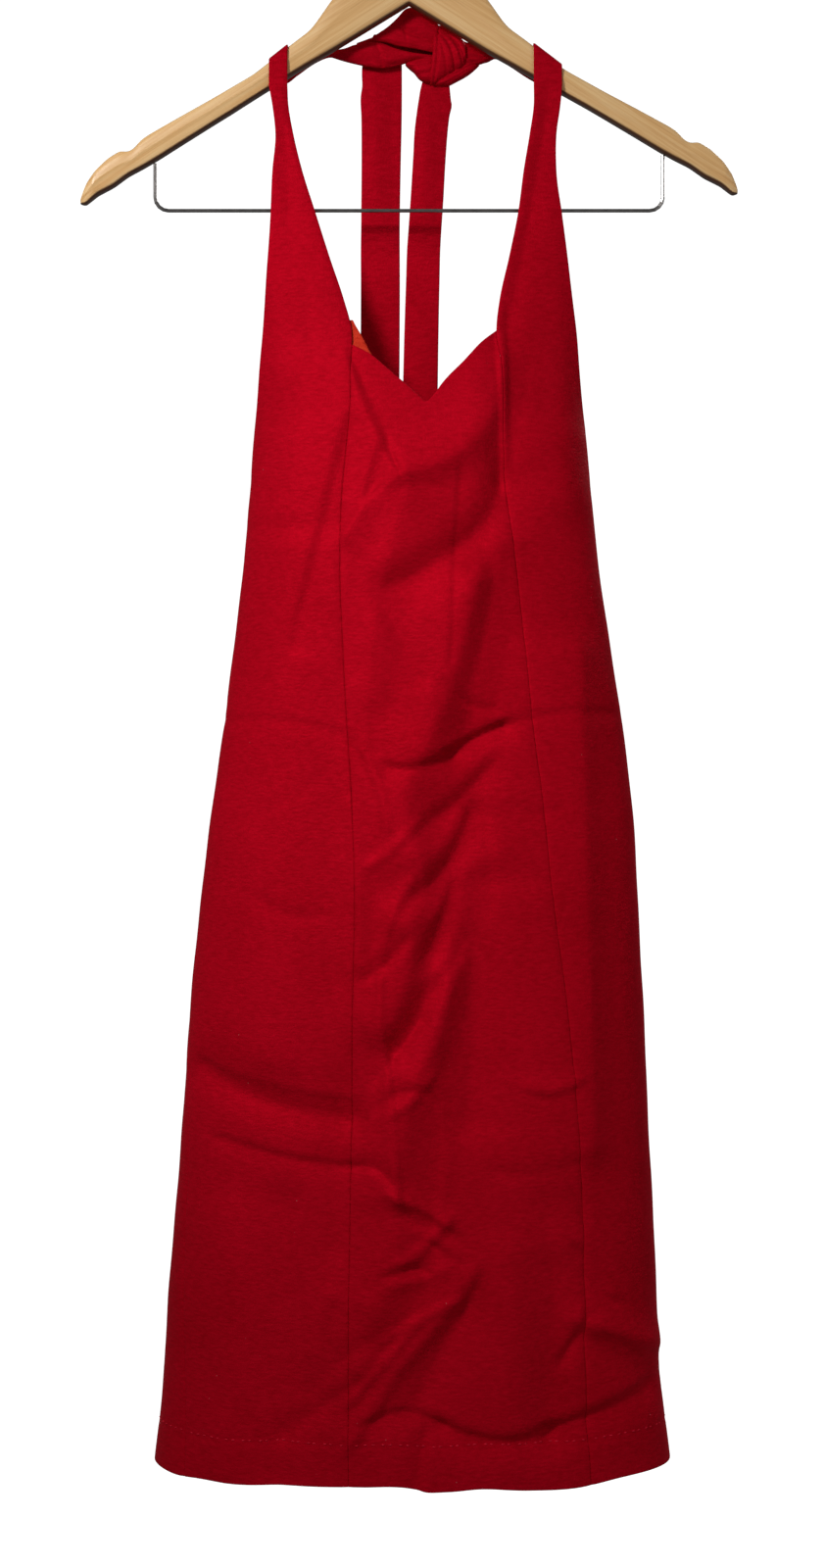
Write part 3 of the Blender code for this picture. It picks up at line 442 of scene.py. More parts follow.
LOOP = Pillow(
    "knot_loop",
    table(
        Station,
        (-24.0, -113.0, -24.0, -116.2), (-15.3, -107.2, -15.3, -117.4),
        (-8.6, -101.2, -8.6, -119.4), (-2.0, -94.4, -2.0, -120.6), (5.0, -94.0, 5.0, -121.8),
        (12.0, -96.4, 12.0, -123.2), (20.0, -101.0, 20.0, -124.6),
    ),
    10.6,
    1.7,
    table(
        Fold,
        (-4, -109, 6, -114, 19, -118, -1.6, 2.4, 1.0),
        (-20, -115, -2, -117, 18, -121.5, 0.9, 2.0, 2.4),
        (-4, -104, -3, -107, -2.6, -110, -0.7, 1.2, 1.2),
        (4, -101, 10, -105, 18, -111, 0.6, 2.2, 2.2),
    ),
)
WRAP = Pillow(
    "knot_wrap",
    table(
        Station,
        (16.4, -104.4, 16.4, -122.0), (21.4, -105.0, 14.4, -143.4), (27.2, -108.0, 22.0, -142.4),
        (33.8, -112.0, 30.5, -137.6), (38.4, -117.8, 36.6, -134.6), (39.4, -126.0, 39.4, -130.0),
    ),
    14.0,
    8.0,
    table(
        Fold,
        (19.5, -111, 20.5, -126, 17.6, -141, -1.1, 0.9, 1.6),
        (20.5, -112, 30, -119, 31, -136, -1.3, 2.0, 0.9),
        (25, -112, 35, -120, 36.6, -134, -1.2, 1.8, 0.9),
        (19, -113, 25, -124, 25.5, -139, -0.6, 1.6, 1.2),
        (29, -114, 36.4, -121, 38, -130, -0.8, 1.2, 0.8),
    ),
)
UNDER_LOOP = Pillow(
    "knot_under",
    table(
        Station,
        (-36.0, -115.0, -36.0, -122.0), (-14.0, -108.0, -14.0, -126.0), (6.0, -108.0, 6.0, -127.6),
        (24.0, -112.0, 24.0, -127.0),
    ),
    18.6,
    1.4,
    table(Fold, (-30, -117, -4, -118, 20, -121, -0.8, 3.0, 3.0)),
)
LOBE = Pillow(
    "knot_lobe",
    table(
        Station,
        (-2.6, -130.4, -2.6, -131.6), (3.0, -128.8, 3.2, -136.6), (8.9, -126.8, 7.4, -141.6),
        (14.0, -125.6, 12.4, -143.6), (20.0, -125.6, 20.0, -143.8),
    ),
    14.2,
    5.6,
    table(
        Fold,
        (0, -131, 8, -131, 17, -127.6, -0.9, 1.6, 1.2),
        (4, -134, 10, -134, 17, -131.6, -0.7, 1.6, 1.4),
        (8, -139, 13, -138.6, 17, -137, -0.6, 1.4, 1.4),
    ),
)
ROLL = Pillow(
    "knot_roll",
    table(
        Station,
        (14.0, -141.4, 14.0, -144.6), (25.0, -137.6, 25.0, -145.6), (33.8, -132.6, 33.8, -141.8),
        (40.0, -129.6, 41.0, -137.6), (48.0, -129.4, 48.0, -131.6),
    ),
    15.4,
    5.0,
    table(
        Fold,
        (20, -143.6, 30, -139.6, 44, -131.6, -0.8, 1.2, 1.2),
        (26, -144, 34, -139.6, 42, -134.6, -0.6, 1.0, 1.2),
    ),
)
SHOULDER = Pillow(
    "knot_shoulder",
    table(
        Station,
        (33.0, -113.6, 33.0, -134.0), (38.4, -116.0, 38.4, -134.0), (43.0, -117.6, 43.0, -132.4),
        (48.8, -121.4, 48.8, -131.0), (58.0, -122.4, 58.0, -127.6),
    ),
    13.6,
    4.4,
    table(
        Fold,
        (38, -121, 43, -122.6, 52, -127, -0.9, 1.0, 1.6),
        (38, -127, 44, -127.6, 53, -128.6, -0.9, 1.4, 1.0),
        (39, -131, 43, -130.6, 48, -129.6, -0.6, 1.0, 1.0),
    ),
)
PILLOW_STEPS = 96
PILLOW_ACROSS = 56
PILLOW_EDGE = 0.35
PILLOW_SQUARE = 0.85

# The tails: a row for each height, the edges and the depth of the side that faces the front
TailRow = namedtuple("TailRow", "z x0 x1 y")
TAIL_LEFT = table(
    TailRow,
    (-110, -24.0, -6.4, 14.9),
    (-118, -28.6, -5.6, 15.4),
    (-127, -31.6, -5.0, 16.2),
    (-136, -32.4, -4.9, 16.6),
    (-145, -32.2, -4.9, 16.8),
    (-152, -33.2, -4.9, 17.2),
    (-165, -32.8, -5.0, 17.8),
    (-193, -32.6, -5.6, 18.2),
    (-225, -32.8, -6.2, 18.2),
    (-247, -33.0, -6.4, 17.9),
    (-251, -33.1, -6.4, 18.9),
    (-280, -33.1, -6.3, 19.4),
    (-310, -33.2, -6.4, 19.7),
    (-345, -33.5, -6.6, 20.1),
    (-376, -33.9, -6.9, 20.4),
)
TAIL_RIGHT = table(
    TailRow,
    (-134, 11.2, 26.4, 16.2),
    (-141, 9.4, 27.4, 16.0),
    (-148, 7.6, 28.0, 16.0),
    (-153, 6.8, 28.5, 16.2),
    (-158, 6.0, 29.3, 16.6),
    (-165, 5.0, 27.8, 17.0),
    (-173, 4.0, 26.8, 17.4),
    (-193, 2.8, 25.2, 18.0),
    (-225, 0.8, 23.4, 18.1),
    (-246, -0.7, 22.0, 18.1),
    (-251, -1.1, 21.7, 19.0),
    (-280, -2.2, 20.9, 19.4),
    (-310, -3.2, 20.3, 19.7),
    (-345, -4.1, 19.8, 20.1),
    (-382, -4.9, 19.2, 20.4),
)
TAIL_LEFT_CREASES = table(
    Fold,
    (-32, -249, -20, -250, -6, -249, -0.5, 1.0, 1.0),
    (-24, -140, -22, -170, -24, -210, 0.5, 5, 6),
    (-12, -150, -11, -190, -12, -240, -0.4, 4, 5),
)
TAIL_RIGHT_CREASES = table(
    Fold,
    (15, -143, 21, -149, 29, -155, -1.6, 2.2, 0.9),
    (18, -145, 24, -146, 27, -150, 1.0, 1.6, 1.2),
    (0, -249, 10, -250, 21, -249, -0.5, 1.0, 1.0),
    (12, -160, 12, -190, 10, -230, 0.6, 5, 6),
)
TAIL_WIDE = 26.0
TAIL_CELL_TALL = 2.4
TAIL_CELL_WIDE = 2.0
TAIL_BOW = 0.5
TAIL_RIPPLE = 0.5
TAIL_RIPPLE_LENGTH = 23.0

# Colours in the materials' patterns
WHITE = (1, 1, 1, 1)
BLACK = (0, 0, 0, 1)
LINT_COLOUR = (0.75, 0.40, 0.38, 1)
# The painted shade that the wood's downward faces are mixed towards, standing in for the shadow
# under the arms
WOOD_PAINTED_SHADE = (0.10, 0.035, 0.012, 1)
# How much darker metal is where it is worn
WORN = 0.7
# The turn that lays the wood's grain along an arm, in degrees
ARM_SLOPE = -33
# The mix node's sockets for colours
MIX_FIRST = 6
MIX_SECOND = 7
MIX_RESULT = 2

# The round room
FLOOR_Z = -1500.0
ROOM_HALF = 6000.0
ROOM_TOP = 6000.0
CORNER = 500.0
CORNER_STEPS = 12
ROOM_SIDES = 64
FLOOR_GLOW = 1.0
ROOM_LIGHT = 0.16

# The lamps: where each stands, its size, its power, its colour and how wide it shines
Lamp = namedtuple("Lamp", "name x y z size power red green blue spread")
LAMPS = table(
    Lamp,
    ("key", -760, -1100, 260, 300, 2.4, 1.0, 0.98, 0.95, 70),
    ("fill", 1500, -1500, -200, 1600, 5.1, 1.0, 1.0, 1.0, 180),
    ("back", 950, 1000, 420, 700, 7, 1.0, 1.0, 1.0, 180),
)
LAMP_AIM_Z = -560


def column(rows, name):
    """One column of a table."""
    return np.array([getattr(row, name) for row in rows], float)


ZS = column(SECTIONS, "z")
COLUMNS = {name: column(SECTIONS, name) for name in Section._fields}
SLOPES = {name: np.gradient(values, ZS) for name, values in COLUMNS.items()}
PHI = np.radians(np.linspace(-180, 180, RING_STEPS + 1))


def cubic(t, span, values, slopes, i):
    """The curve between the values i and i + 1 with these slopes, at the share t of the span."""
    return (
        (2 * t**3 - 3 * t**2 + 1) * values[i]
        + (t**3 - 2 * t**2 + t) * span * slopes[i]
        + (3 * t**2 - 2 * t**3) * values[i + 1]
        + (t**3 - t**2) * span * slopes[i + 1]
    )


def smooth(name, z):
    """A column of SECTIONS at height z, on a curve that passes through every row."""
    z = min(max(z, ZS[-1]), ZS[0])
    i = min(max(int(np.searchsorted(-ZS, -z, side="right")) - 1, 0), len(ZS) - 2)
    span = ZS[i + 1] - ZS[i]
    return cubic((z - ZS[i]) / span, span, COLUMNS[name], SLOPES[name], i)


def through(places, values, at):
    """A smooth curve through values at places, read at the places at."""
    places, values, at = (np.asarray(v, float) for v in (places, values, at))
    slopes = np.gradient(values, places)
    i = np.clip(np.searchsorted(places, at, side="right") - 1, 0, len(places) - 2)
    span = places[i + 1] - places[i]
    return cubic(np.clip((at - places[i]) / span, 0, 1), span, values, slopes, i)


def run_along(points, axis=0):
    """How far each point lies along its line, where the lines follow this axis."""
    run = np.cumsum(np.linalg.norm(np.diff(points, axis=axis), axis=-1), axis=axis)
    return np.concatenate([np.zeros_like(np.take(run, [0], axis=axis)), run], axis=axis)


def on_line(place, run, line):
    """The point of a line at this place of its run."""
    return np.array([np.interp(place, run, line[:, k]) for k in range(3)])


def fold_heights(folds, fade, x, z):
    """How far each fold pushes the skin out at the points x, z that it reaches."""
    for fold in folds:
        t = np.linspace(0, 1, FOLD_STEPS + 1)
        px = (1 - t) ** 2 * fold.x0 + 2 * t * (1 - t) * fold.x1 + t**2 * fold.x2
        pz = (1 - t) ** 2 * fold.z0 + 2 * t * (1 - t) * fold.z1 + t**2 * fold.z2
        reach = FOLD_REACH * max(fold.wide_left, fold.wide_right, fade)
        near = (x > px.min() - reach) & (x < px.max() + reach)
        near &= (z > pz.min() - reach) & (z < pz.max() + reach)
        if not near.any():
            continue
        dx, dz = np.diff(px), np.diff(pz)
        length = np.hypot(dx, dz)
        rx = x[near][:, None] - px[:-1]
        rz = z[near][:, None] - pz[:-1]
        ahead = (rx * dx + rz * dz) / length
        across = (dx * rz - dz * rx) / length
        past = np.abs(ahead - np.clip(ahead, 0, length))
        nearest = np.argmin(np.hypot(across, past), axis=-1)[:, None]
        side = np.take_along_axis(across, nearest, -1)[:, 0]
        end = np.take_along_axis(past, nearest, -1)[:, 0]
        run_out = np.abs(side / np.where(side > 0, fold.wide_left, fold.wide_right))
        fall = CREST_FALL * (np.hypot(run_out, CREST_ROUND) - CREST_ROUND)
        fall += FOOT_FALL * run_out**4
        yield near, fold.height * np.exp(-fall - (end / fade) ** 2)


def pressed(forms, creases, x, z):
    """Large forms, where the highest leads and none adds to the next, with creases on top."""
    up, down = np.zeros_like(x), np.zeros_like(x)
    for near, height in fold_heights(forms, FORM_END, x, z):
        up[near] += np.maximum(height, 0) ** FORM_BLEND
        down[near] += np.maximum(-height, 0) ** FORM_BLEND
    total = up ** (1 / FORM_BLEND) - down ** (1 / FORM_BLEND)
    for near, height in fold_heights(creases, CREASE_END, x, z):
        total[near] += height
    return total


def unevenness(x, y, z):
    """The cloth's soft, shallow waves, which no two places share."""
    wave = 0.30 * np.sin(x / 17.3 + 0.6 * np.sin(z / 41.0) + y / 23.0)
    wave += 0.26 * np.sin(z / 21.7 + 0.8 * np.sin(x / 33.0) + 1.3)
    wave += 0.16 * np.sin((x + z) / 9.1 + 2.1 * np.sin(y / 19.0))
    return wave * UNEVEN


class Ring:
    """The skin's section at one height: points, outward normals and arc lengths from the front."""

    made = {}

    def __init__(self, z):
        left, right = smooth("left", z), smooth("right", z)
        front, side, back = smooth("front", z), smooth("side", z), smooth("back", z)
        wrap = math.radians(min(smooth("wrap", z), 90))
        half = (right - left) / 2 / math.sin(wrap)
        cosines = np.cos(PHI)
        bow = (cosines - math.cos(wrap)) / (1 - math.cos(wrap))
        behind = (cosines < math.cos(wrap)) & (wrap > CLOSED_WRAP)
        self.x = (left + right) / 2 + half * np.sin(PHI)
        self.y = side + np.where(behind, -(back - side) * cosines, (front - side) * bow)
        arc = run_along(np.column_stack([self.x, self.y]))
        self.arc = arc - arc[len(PHI) // 2]
        nx, ny = np.gradient(self.y), -np.gradient(self.x)
        size = np.hypot(nx, ny)
        self.nx, self.ny = nx / size, ny / size
        self.left_arc = np.interp(-wrap, PHI, self.arc)
        self.right_arc = np.interp(wrap, PHI, self.arc)

    def arc_at(self, x):
        """The arc length at which the front has this x."""
        front = slice(len(PHI) // 4, 3 * len(PHI) // 4 + 1)
        return np.interp(x, self.x[front], self.arc[front])

    @classmethod
    def at(cls, z):
        """The ring at this height, which is made once."""
        key = round(float(z), 3)
        if key not in cls.made:
            cls.made[key] = cls(key)
        return cls.made[key]


def base_skin(z, arc):
    """Points and outward directions of the plain skin at heights z and arc lengths arc."""
    points = np.empty(z.shape + (3,))
    facing = np.zeros(z.shape + (3,))
    keys = np.round(z, 3)
    for key in np.unique(keys):
        ring = Ring.at(key)
        here = keys == key
        whole = ring.arc[-1] - ring.arc[0]
        place = (arc[here] - ring.arc[0]) % whole + ring.arc[0]
        points[here, 0] = np.interp(place, ring.arc, ring.x)
        points[here, 1] = np.interp(place, ring.arc, ring.y)
        facing[here, 0] = np.interp(place, ring.arc, ring.nx)
        facing[here, 1] = np.interp(place, ring.arc, ring.ny)
    points[..., 2] = z
    return points, facing


def front_share(facing):
    """How much each point belongs to the front: 1 there, 0 behind, between them at the sides."""
    return np.clip(0.5 - facing[..., 1] / (2 * FOLD_SIDE_FADE), 0, 1)


def folded(points, facing):
    """The points of the skin, pressed by the folds of the side that they lie on."""
    x, z = points[..., 0], points[..., 2]
    front = front_share(facing)
    out = front * pressed(FRONT_FORMS, FRONT_CREASES, x, z)
    out += (1 - front) * pressed(BACK_FORMS, BACK_CREASES, x, z)
    out += unevenness(x, points[..., 1], z)
    return points + facing * out[..., None]


def ticks(start, end, cell):
    """Places from start to end, closer together near the two edges."""
    sign = 1 if end > start else -1
    inner = EDGE_STEPS[-1]
    count = max(2, round((abs(end - start) - 2 * inner) / cell))
    middle = np.linspace(start + sign * inner, end - sign * inner, count + 1)
    steps = sign * np.array(EDGE_STEPS[:-1])
    return np.concatenate([start + steps, middle, (end - steps)[::-1]])


def shares(length, cell):
    """The same places as shares of the length."""
    return ticks(0.0, length, cell) / length


def outward_of(grid):
    """The outward direction at each point of a grid whose rows run to the right, from the top."""
    facing = np.cross(np.gradient(grid, axis=0), np.gradient(grid, axis=1))
    return facing / np.maximum(np.linalg.norm(facing, axis=-1), TINY)[..., None]


def edge_half(distance):
    """Half the cloth's thickness at this distance from a rounded edge."""
    near = np.clip(distance / EDGE_ROUND, 0, 1)
    return CLOTH / 2 * np.sqrt(np.maximum(1 - (1 - near) ** 2, EDGE_LEAST))


def in_scene(name, data):
    """A new object in the scene."""
    thing = bpy.data.objects.new(name, data)
    bpy.context.scene.collection.objects.link(thing)
    return thing


def mesh_data(name, points, faces):
    """A new mesh from points in millimetres and faces."""
    data = bpy.data.meshes.new(name)
    data.from_pydata((np.asarray(points) * MM).tolist(), [], [list(face) for face in faces])
    return data


def mesh_object(name, points, faces, finish):
    """A new piece, riding on the dress."""
    data = mesh_data(name, points, faces)
    data.validate()
    mesh = bmesh.new()
    mesh.from_mesh(data)
    bmesh.ops.recalc_face_normals(mesh, faces=mesh.faces)
    mesh.to_mesh(data)
    mesh.free()
    data.shade_smooth()
    data.materials.append(finish)
    thing = in_scene(name, data)
    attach(thing, BODY)
    return thing


def grid_faces(rows, columns, first, flip=False):
    """The faces of a grid whose points are numbered row by row from first."""
    faces = []
    for i in range(rows - 1):
        for j in range(columns - 1):
            a = first + i * columns + j
            face = (a, a + 1, a + columns + 1, a + columns)
            faces.append(face[::-1] if flip else face)
    return faces


def tube_faces(rings, around, first=0):
    """The faces of a closed tube whose points are numbered ring by ring from first."""
    faces = []
    for i in range(rings - 1):
        for k in range(around):
            a = first + i * around + k
            b = first + i * around + (k + 1) % around
            faces.append((a, b, b + around, a + around))
    last = first + (rings - 1) * around
    faces.append(tuple(range(first, first + around)))
    faces.append(tuple(range(last, last + around)))
    return faces


def shell(name, middle, half, facing, finish=None, inner_extra=0.0):
    """A closed thin piece of cloth round a grid of middle points."""
    rows, columns = middle.shape[:2]
    outer = middle + facing * half[..., None]
    inner = middle - facing * (half + inner_extra)[..., None]
    count = rows * columns
    points = np.concatenate([outer.reshape(-1, 3), inner.reshape(-1, 3)])
    faces = grid_faces(rows, columns, 0) + grid_faces(rows, columns, count, flip=True)
    rim = [(0, j) for j in range(columns - 1)]
    rim += [(i, columns - 1) for i in range(rows - 1)]
    rim += [(rows - 1, j) for j in range(columns - 1, 0, -1)]
    rim += [(i, 0) for i in range(rows - 1, 0, -1)]
    for (i, j), (k, m) in zip(rim, rim[1:] + rim[:1]):
        a, b = i * columns + j, k * columns + m
        faces.append((a, b, b + count, a + count))
    return mesh_object(name, points, faces, finish or CREPE)


def hem_drop(points, facing):
    """Lowers the last stretch above the hem by the hem's own unevenness."""
    near = np.clip((HEM_Z + HEM_DROP_REACH - points[..., 2]) / HEM_DROP_REACH, 0, 1)
    front = front_share(facing)
    drops = through(column(HEM_DROPS, "x"), column(HEM_DROPS, "drop"), points[..., 0])
    behind = HEM_BACK_WAVE * np.sin(points[..., 0] / HEM_BACK_LENGTH) + HEM_BACK_DROP
    points[..., 2] -= near**2 * (front * drops + (1 - front) * behind)


def panel(name, zs, arcs, left_seam, right_seam, over=None):
    """A cut piece of the dress on the skin. zs and arcs are grids; a seam is an edge that meets
    another piece, and over gives the rows of points that carry a strap over the hanger."""
    points, facing = base_skin(zs, arcs)
    middle = folded(points, facing)
    from_left = run_along(middle, axis=1)
    from_right = from_left[:, -1:] - from_left
    from_hem = zs - zs[-1:]
    drops = HEM_STITCH_DIP * np.exp(-(((from_hem - HEM_DEEP) / HEM_STITCH_WIDE) ** 2))
    for seam, distance in ((left_seam, from_left), (right_seam, from_right)):
        if seam:
            drops += SEAM_DIP * np.exp(-((distance / SEAM_WIDE) ** 2))
    middle -= facing * (drops + SKIN_TO_MIDDLE)[..., None]
    hem_drop(middle, facing)
    if over is not None:
        middle = np.concatenate([over(middle[0]), middle])
        extra = len(middle) - len(zs)
        from_left = np.concatenate([np.repeat(from_left[:1], extra, axis=0), from_left])
        from_right = np.concatenate([np.repeat(from_right[:1], extra, axis=0), from_right])
        from_hem = np.concatenate([np.full((extra, zs.shape[1]), FAR_FROM_HEM), from_hem])
    outward = outward_of(middle)
    stitch_row = int(np.argmin(np.abs(from_hem[:, 0] - HEM_DEEP)))
    HEM_ROWS.append((middle[stitch_row], outward[stitch_row]))
    from_top = run_along(middle)
    distance = np.minimum(from_left, from_right)
    distance = np.minimum(distance, np.minimum(from_top, from_top[-1:] - from_top))
    turned_up = np.clip((HEM_DEEP - from_hem) / HEM_STEP, 0, 1)
    turned_up *= HEM_THICKER * np.clip(from_hem / HEM_ROUND, 0, 1)
    piece = shell(name, middle, edge_half(distance), outward, inner_extra=turned_up)
    return piece


def hem_stitches():
    """The small stitches that hold the hem up, all round above it."""
    points, faces = [], []
    turns = np.linspace(0, 2 * math.pi, STITCH_SIDES, endpoint=False)
    for line, outward in HEM_ROWS:
        run = run_along(line)
        for place in np.arange(STITCH_EVERY, run[-1] - STITCH_EVERY / 2, STITCH_EVERY):
            stray = STITCH_STRAY * math.sin(place * STITCH_STRAY_TURN)
            at = on_line(place + stray, run, line)
            out = on_line(place, run, outward)
            ahead = on_line(place + STITCH_AHEAD, run, line) - at
            ahead /= np.linalg.norm(ahead)
            up = np.cross(ahead, out)
            faces += tube_faces(len(STITCH_SHARES), STITCH_SIDES, len(points))
            for share in STITCH_SHARES:
                thick = STITCH_THICK * math.sin(share * math.pi)
                middle = at + ahead * (share - 0.5) * STITCH_LONG + out * STITCH_LIFT
                for turn in turns:
                    points.append(middle + (up * math.cos(turn) + out * math.sin(turn)) * thick)
    return mesh_object("hem_stitches", points, faces, THREAD)


def body_rows(top, cell=CELL_TALL):
    """The heights of a panel's rows from its top to the hem."""
    return ticks(top, HEM_Z, cell)


@lru_cache(maxsize=None)
def seam_arcs(z):
    """The arc lengths at height z of both side seams, both princess seams and the centre back."""
    ring = Ring.at(z)
    turn = max(smooth("turn", z), 0)
    return {
        "side_left": ring.left_arc + turn,
        "seam_left": float(ring.arc_at(smooth("seam_left", z))),
        "seam_right": float(ring.arc_at(smooth("seam_right", z))),
        "side_right": ring.right_arc + turn,
        "back": ring.arc[-1] + turn,
        "whole": ring.arc[-1] - ring.arc[0],
    }


def centre_front():
    """The centre front, whose top follows the neckline."""
    neck_x = column(NECKLINE, "x")
    neck_wide = neck_x[-1] - neck_x[0]
    across = shares(CENTRE_WIDE, CELL_WIDE)
    v_share = (NECK_V_X - neck_x[0]) / neck_wide
    across[np.argmin(np.abs(across - v_share))] = v_share
    tops = through(neck_x, column(NECKLINE, "z"), neck_x[0] + across * neck_wide)
    edge = np.array(EDGE_STEPS) / BIB_TALL
    bib = np.concatenate([edge[:-1], np.linspace(edge[-1], 1, BIB_ROWS)])
    zs = [tops + (UNDERARM_Z - tops) * share for share in bib]
    zs += [np.full(len(across), z) for z in body_rows(UNDERARM_Z)[len(EDGE_STEPS) :]]
    zs = np.round(np.array(zs), 2)
    arcs = np.empty_like(zs)
    for spot in np.ndindex(zs.shape):
        seams = seam_arcs(zs[spot])
        start, end = seams["seam_left"], seams["seam_right"]
        arcs[spot] = start + across[spot[1]] * (end - start)
    return panel("front_centre_cloth", zs, arcs, True, True)


def arm_top(x):
    """The height of the hanger's upper edge at x."""
    return np.interp(np.abs(x), column(WOOD_TOP, "x"), column(WOOD_TOP, "z")) + HANGER_TILT * x


def strap_over(first_row):
    """The rows that carry a strap from its first row up and over the hanger's arm."""
    rise, depth = column(STRAP_OVER, "rise"), column(STRAP_OVER, "y")
    run = run_along(np.column_stack([rise, depth]))
    at = np.linspace(run[-1], 0, OVER_STEPS)
    rises, depths = through(run, rise, at), through(run, depth, at)
    x, y, z = first_row.T
    grid = np.empty((OVER_STEPS, len(x), 3))
    for i in range(OVER_STEPS):
        blend = np.clip((rises[i] - STRAP_OVER[0].rise) / OVER_BLEND, 0, 1)
        blend = blend * blend * (3 - 2 * blend)
        grid[i, :, 0] = x
        grid[i, :, 1] = depths[i] * blend + (1 - blend) * (y + OVER_BACK)
        above = OVER_ABOVE + (OVER_STEPS - i) * OVER_ROW
        grid[i, :, 2] = np.maximum(arm_top(x) + rises[i], z + above)
    return grid


def side_front(which):
    """A side front, cut in one with its strap."""
    strap_rows = ticks(STRAP_TOP_ROW_Z, UNDERARM_Z, CELL_TALL)[: -len(EDGE_STEPS)]
    rows = np.concatenate([strap_rows, body_rows(UNDERARM_Z)[len(EDGE_STEPS) - 1 :]])
    rows = np.round(rows, 2)
    across = shares(SIDE_WIDE, CELL_WIDE)
    zs = np.repeat(rows[:, None], len(across), axis=1)
    arcs = np.empty_like(zs)
    for i, z in enumerate(rows):
        seams = seam_arcs(z)
        start, end = sorted((seams["seam_" + which], seams["side_" + which]))
        arcs[i] = start + across * (end - start)
    name = "front_side_cloth_" + which
    return panel(name, zs, arcs, which == "right", which == "left", strap_over)


def back(which):
    """A back panel, whose upper edge dips towards the zip."""
    across = shares(BACK_WIDE, BACK_CELL)
    towards = across if which == "right" else 1 - across
    dips = BACK_DIP * np.sin(towards * math.pi / 2) ** 2
    level = body_rows(UNDERARM_Z, BACK_CELL)[:, None]
    zs = np.round(level - dips * (HEM_Z - level) / (HEM_Z - UNDERARM_Z), 2)
    arcs = np.empty_like(zs)
    for spot in np.ndindex(zs.shape):
        seams = seam_arcs(zs[spot])
        if which == "right":
            start, end = seams["side_right"], seams["back"]
        else:
            start, end = seams["back"] - seams["whole"], seams["side_left"]
        arcs[spot] = start + across[spot[1]] * (end - start)
    return panel("back_cloth_" + which, zs, arcs, True, True)


def neck_facing():
    """The facing's corner, just inside the centre front."""
    zs = np.linspace(FACING[0].z, FACING[-1].z, FACING_ROWS)
    places = -column(FACING, "z")
    x0, x1 = (through(places, column(FACING, name), -zs) for name in ("x0", "x1"))
    across = np.linspace(0, 1, FACING_COLUMNS)
    grid = np.empty((len(zs), len(across), 3))
    for i, z in enumerate(zs):
        ring = Ring.at(z)
        arcs = ring.arc_at(x0[i]) + across * (ring.arc_at(x1[i]) - ring.arc_at(x0[i]))
        grid[i, :, 0] = np.interp(arcs, ring.arc, ring.x)
        grid[i, :, 1] = np.interp(arcs, ring.arc, ring.y) + FACING_BEHIND
        grid[i, :, 2] = z
    half = np.full(grid.shape[:2], FACING_HALF)
    piece = shell("facing_corner", grid, half, outward_of(grid), FACING_CREPE)
    return piece


def ribbon(name, rows, creases):
    """A flat hanging strip with rounded edges."""
    places = -column(rows, "z")
    zs = ticks(rows[0].z, rows[-1].z, TAIL_CELL_TALL)
    x0, x1, y = (through(places, column(rows, key), -zs) for key in ("x0", "x1", "y"))
    across = shares(TAIL_WIDE, TAIL_CELL_WIDE)
    grid = np.empty((len(zs), len(across), 3))
    grid[..., 0] = x0[:, None] + across * (x1 - x0)[:, None]
    grid[..., 2] = zs[:, None]
    bow = TAIL_BOW * np.cos((across - 0.5) * math.pi)
    wave = TAIL_RIPPLE * np.sin(zs / TAIL_RIPPLE_LENGTH + 1.0)[:, None]
    wave = wave * np.cos((across - 0.3) * 2.2)
    press = pressed((), creases, grid[..., 0].copy(), grid[..., 2].copy())
    grid[..., 1] = y[:, None] + SKIN_TO_MIDDLE - bow + wave - press
    from_side = np.minimum(across, 1 - across) * TAIL_WIDE
    from_end = np.minimum(zs[0] - zs, zs - zs[-1])
    distance = np.minimum(from_side[None, :], from_end[:, None])
    piece = shell(name, grid, edge_half(distance), outward_of(grid))
    return piece


def unit(vectors):
    """The same directions with length 1."""
    return vectors / np.linalg.norm(vectors, axis=1)[:, None]


def squared(values):
    """A circle's sines or cosines, filled out towards a square's."""
    return np.sign(values) * np.abs(values) ** BAND_SQUARE


def band(name, points, creases):
    """A tie band: a folded strip carried along its points, with its creases."""
    run = run_along(np.column_stack([column(points, key) for key in ("x", "y", "z")]))
    at = np.linspace(0, run[-1], BAND_STEPS)
    columns = (through(run, column(points, key), at) for key in BandPoint._fields)
    x, y, z, wide_x, wide_z, width, thick = columns
    middle = np.stack([x, y, z], axis=1)
    ahead = unit(np.gradient(middle, axis=0))
    wide = unit(np.stack([wide_x, np.zeros(BAND_STEPS), wide_z], axis=1))
    thin = unit(np.cross(wide, ahead))
    angle = np.linspace(0, math.tau, BAND_AROUND, endpoint=False)
    share = at / run[-1]
    sink = np.zeros((BAND_STEPS, BAND_AROUND))
    for crease in creases:
        slope = (crease.across1 - crease.across0) / (crease.along1 - crease.along0)
        line = crease.across0 + (share[:, None] - crease.along0) * slope
        off = (np.cos(angle)[None, :] - line) / math.hypot(1, slope * BAND_LEAN)
        fade = np.clip((share - crease.along0) / BAND_FADE, 0, 1)
        fade *= np.clip((crease.along1 - share) / BAND_FADE, 0, 1)
        sink += crease.depth * fade[:, None] * np.exp(-((off / (crease.wide * 2)) ** 2))
    half_wide = width[:, None] / 2 * squared(np.cos(angle))
    half_thin = thick[:, None] / 2 * squared(np.sin(angle)) + sink * np.sin(angle)
    rings = middle[:, None, :] + wide[:, None, :] * half_wide[..., None]
    rings = rings + thin[:, None, :] * half_thin[..., None]
    faces = tube_faces(BAND_STEPS, BAND_AROUND)
    return mesh_object(name, rings.reshape(-1, 3), faces, CREPE)


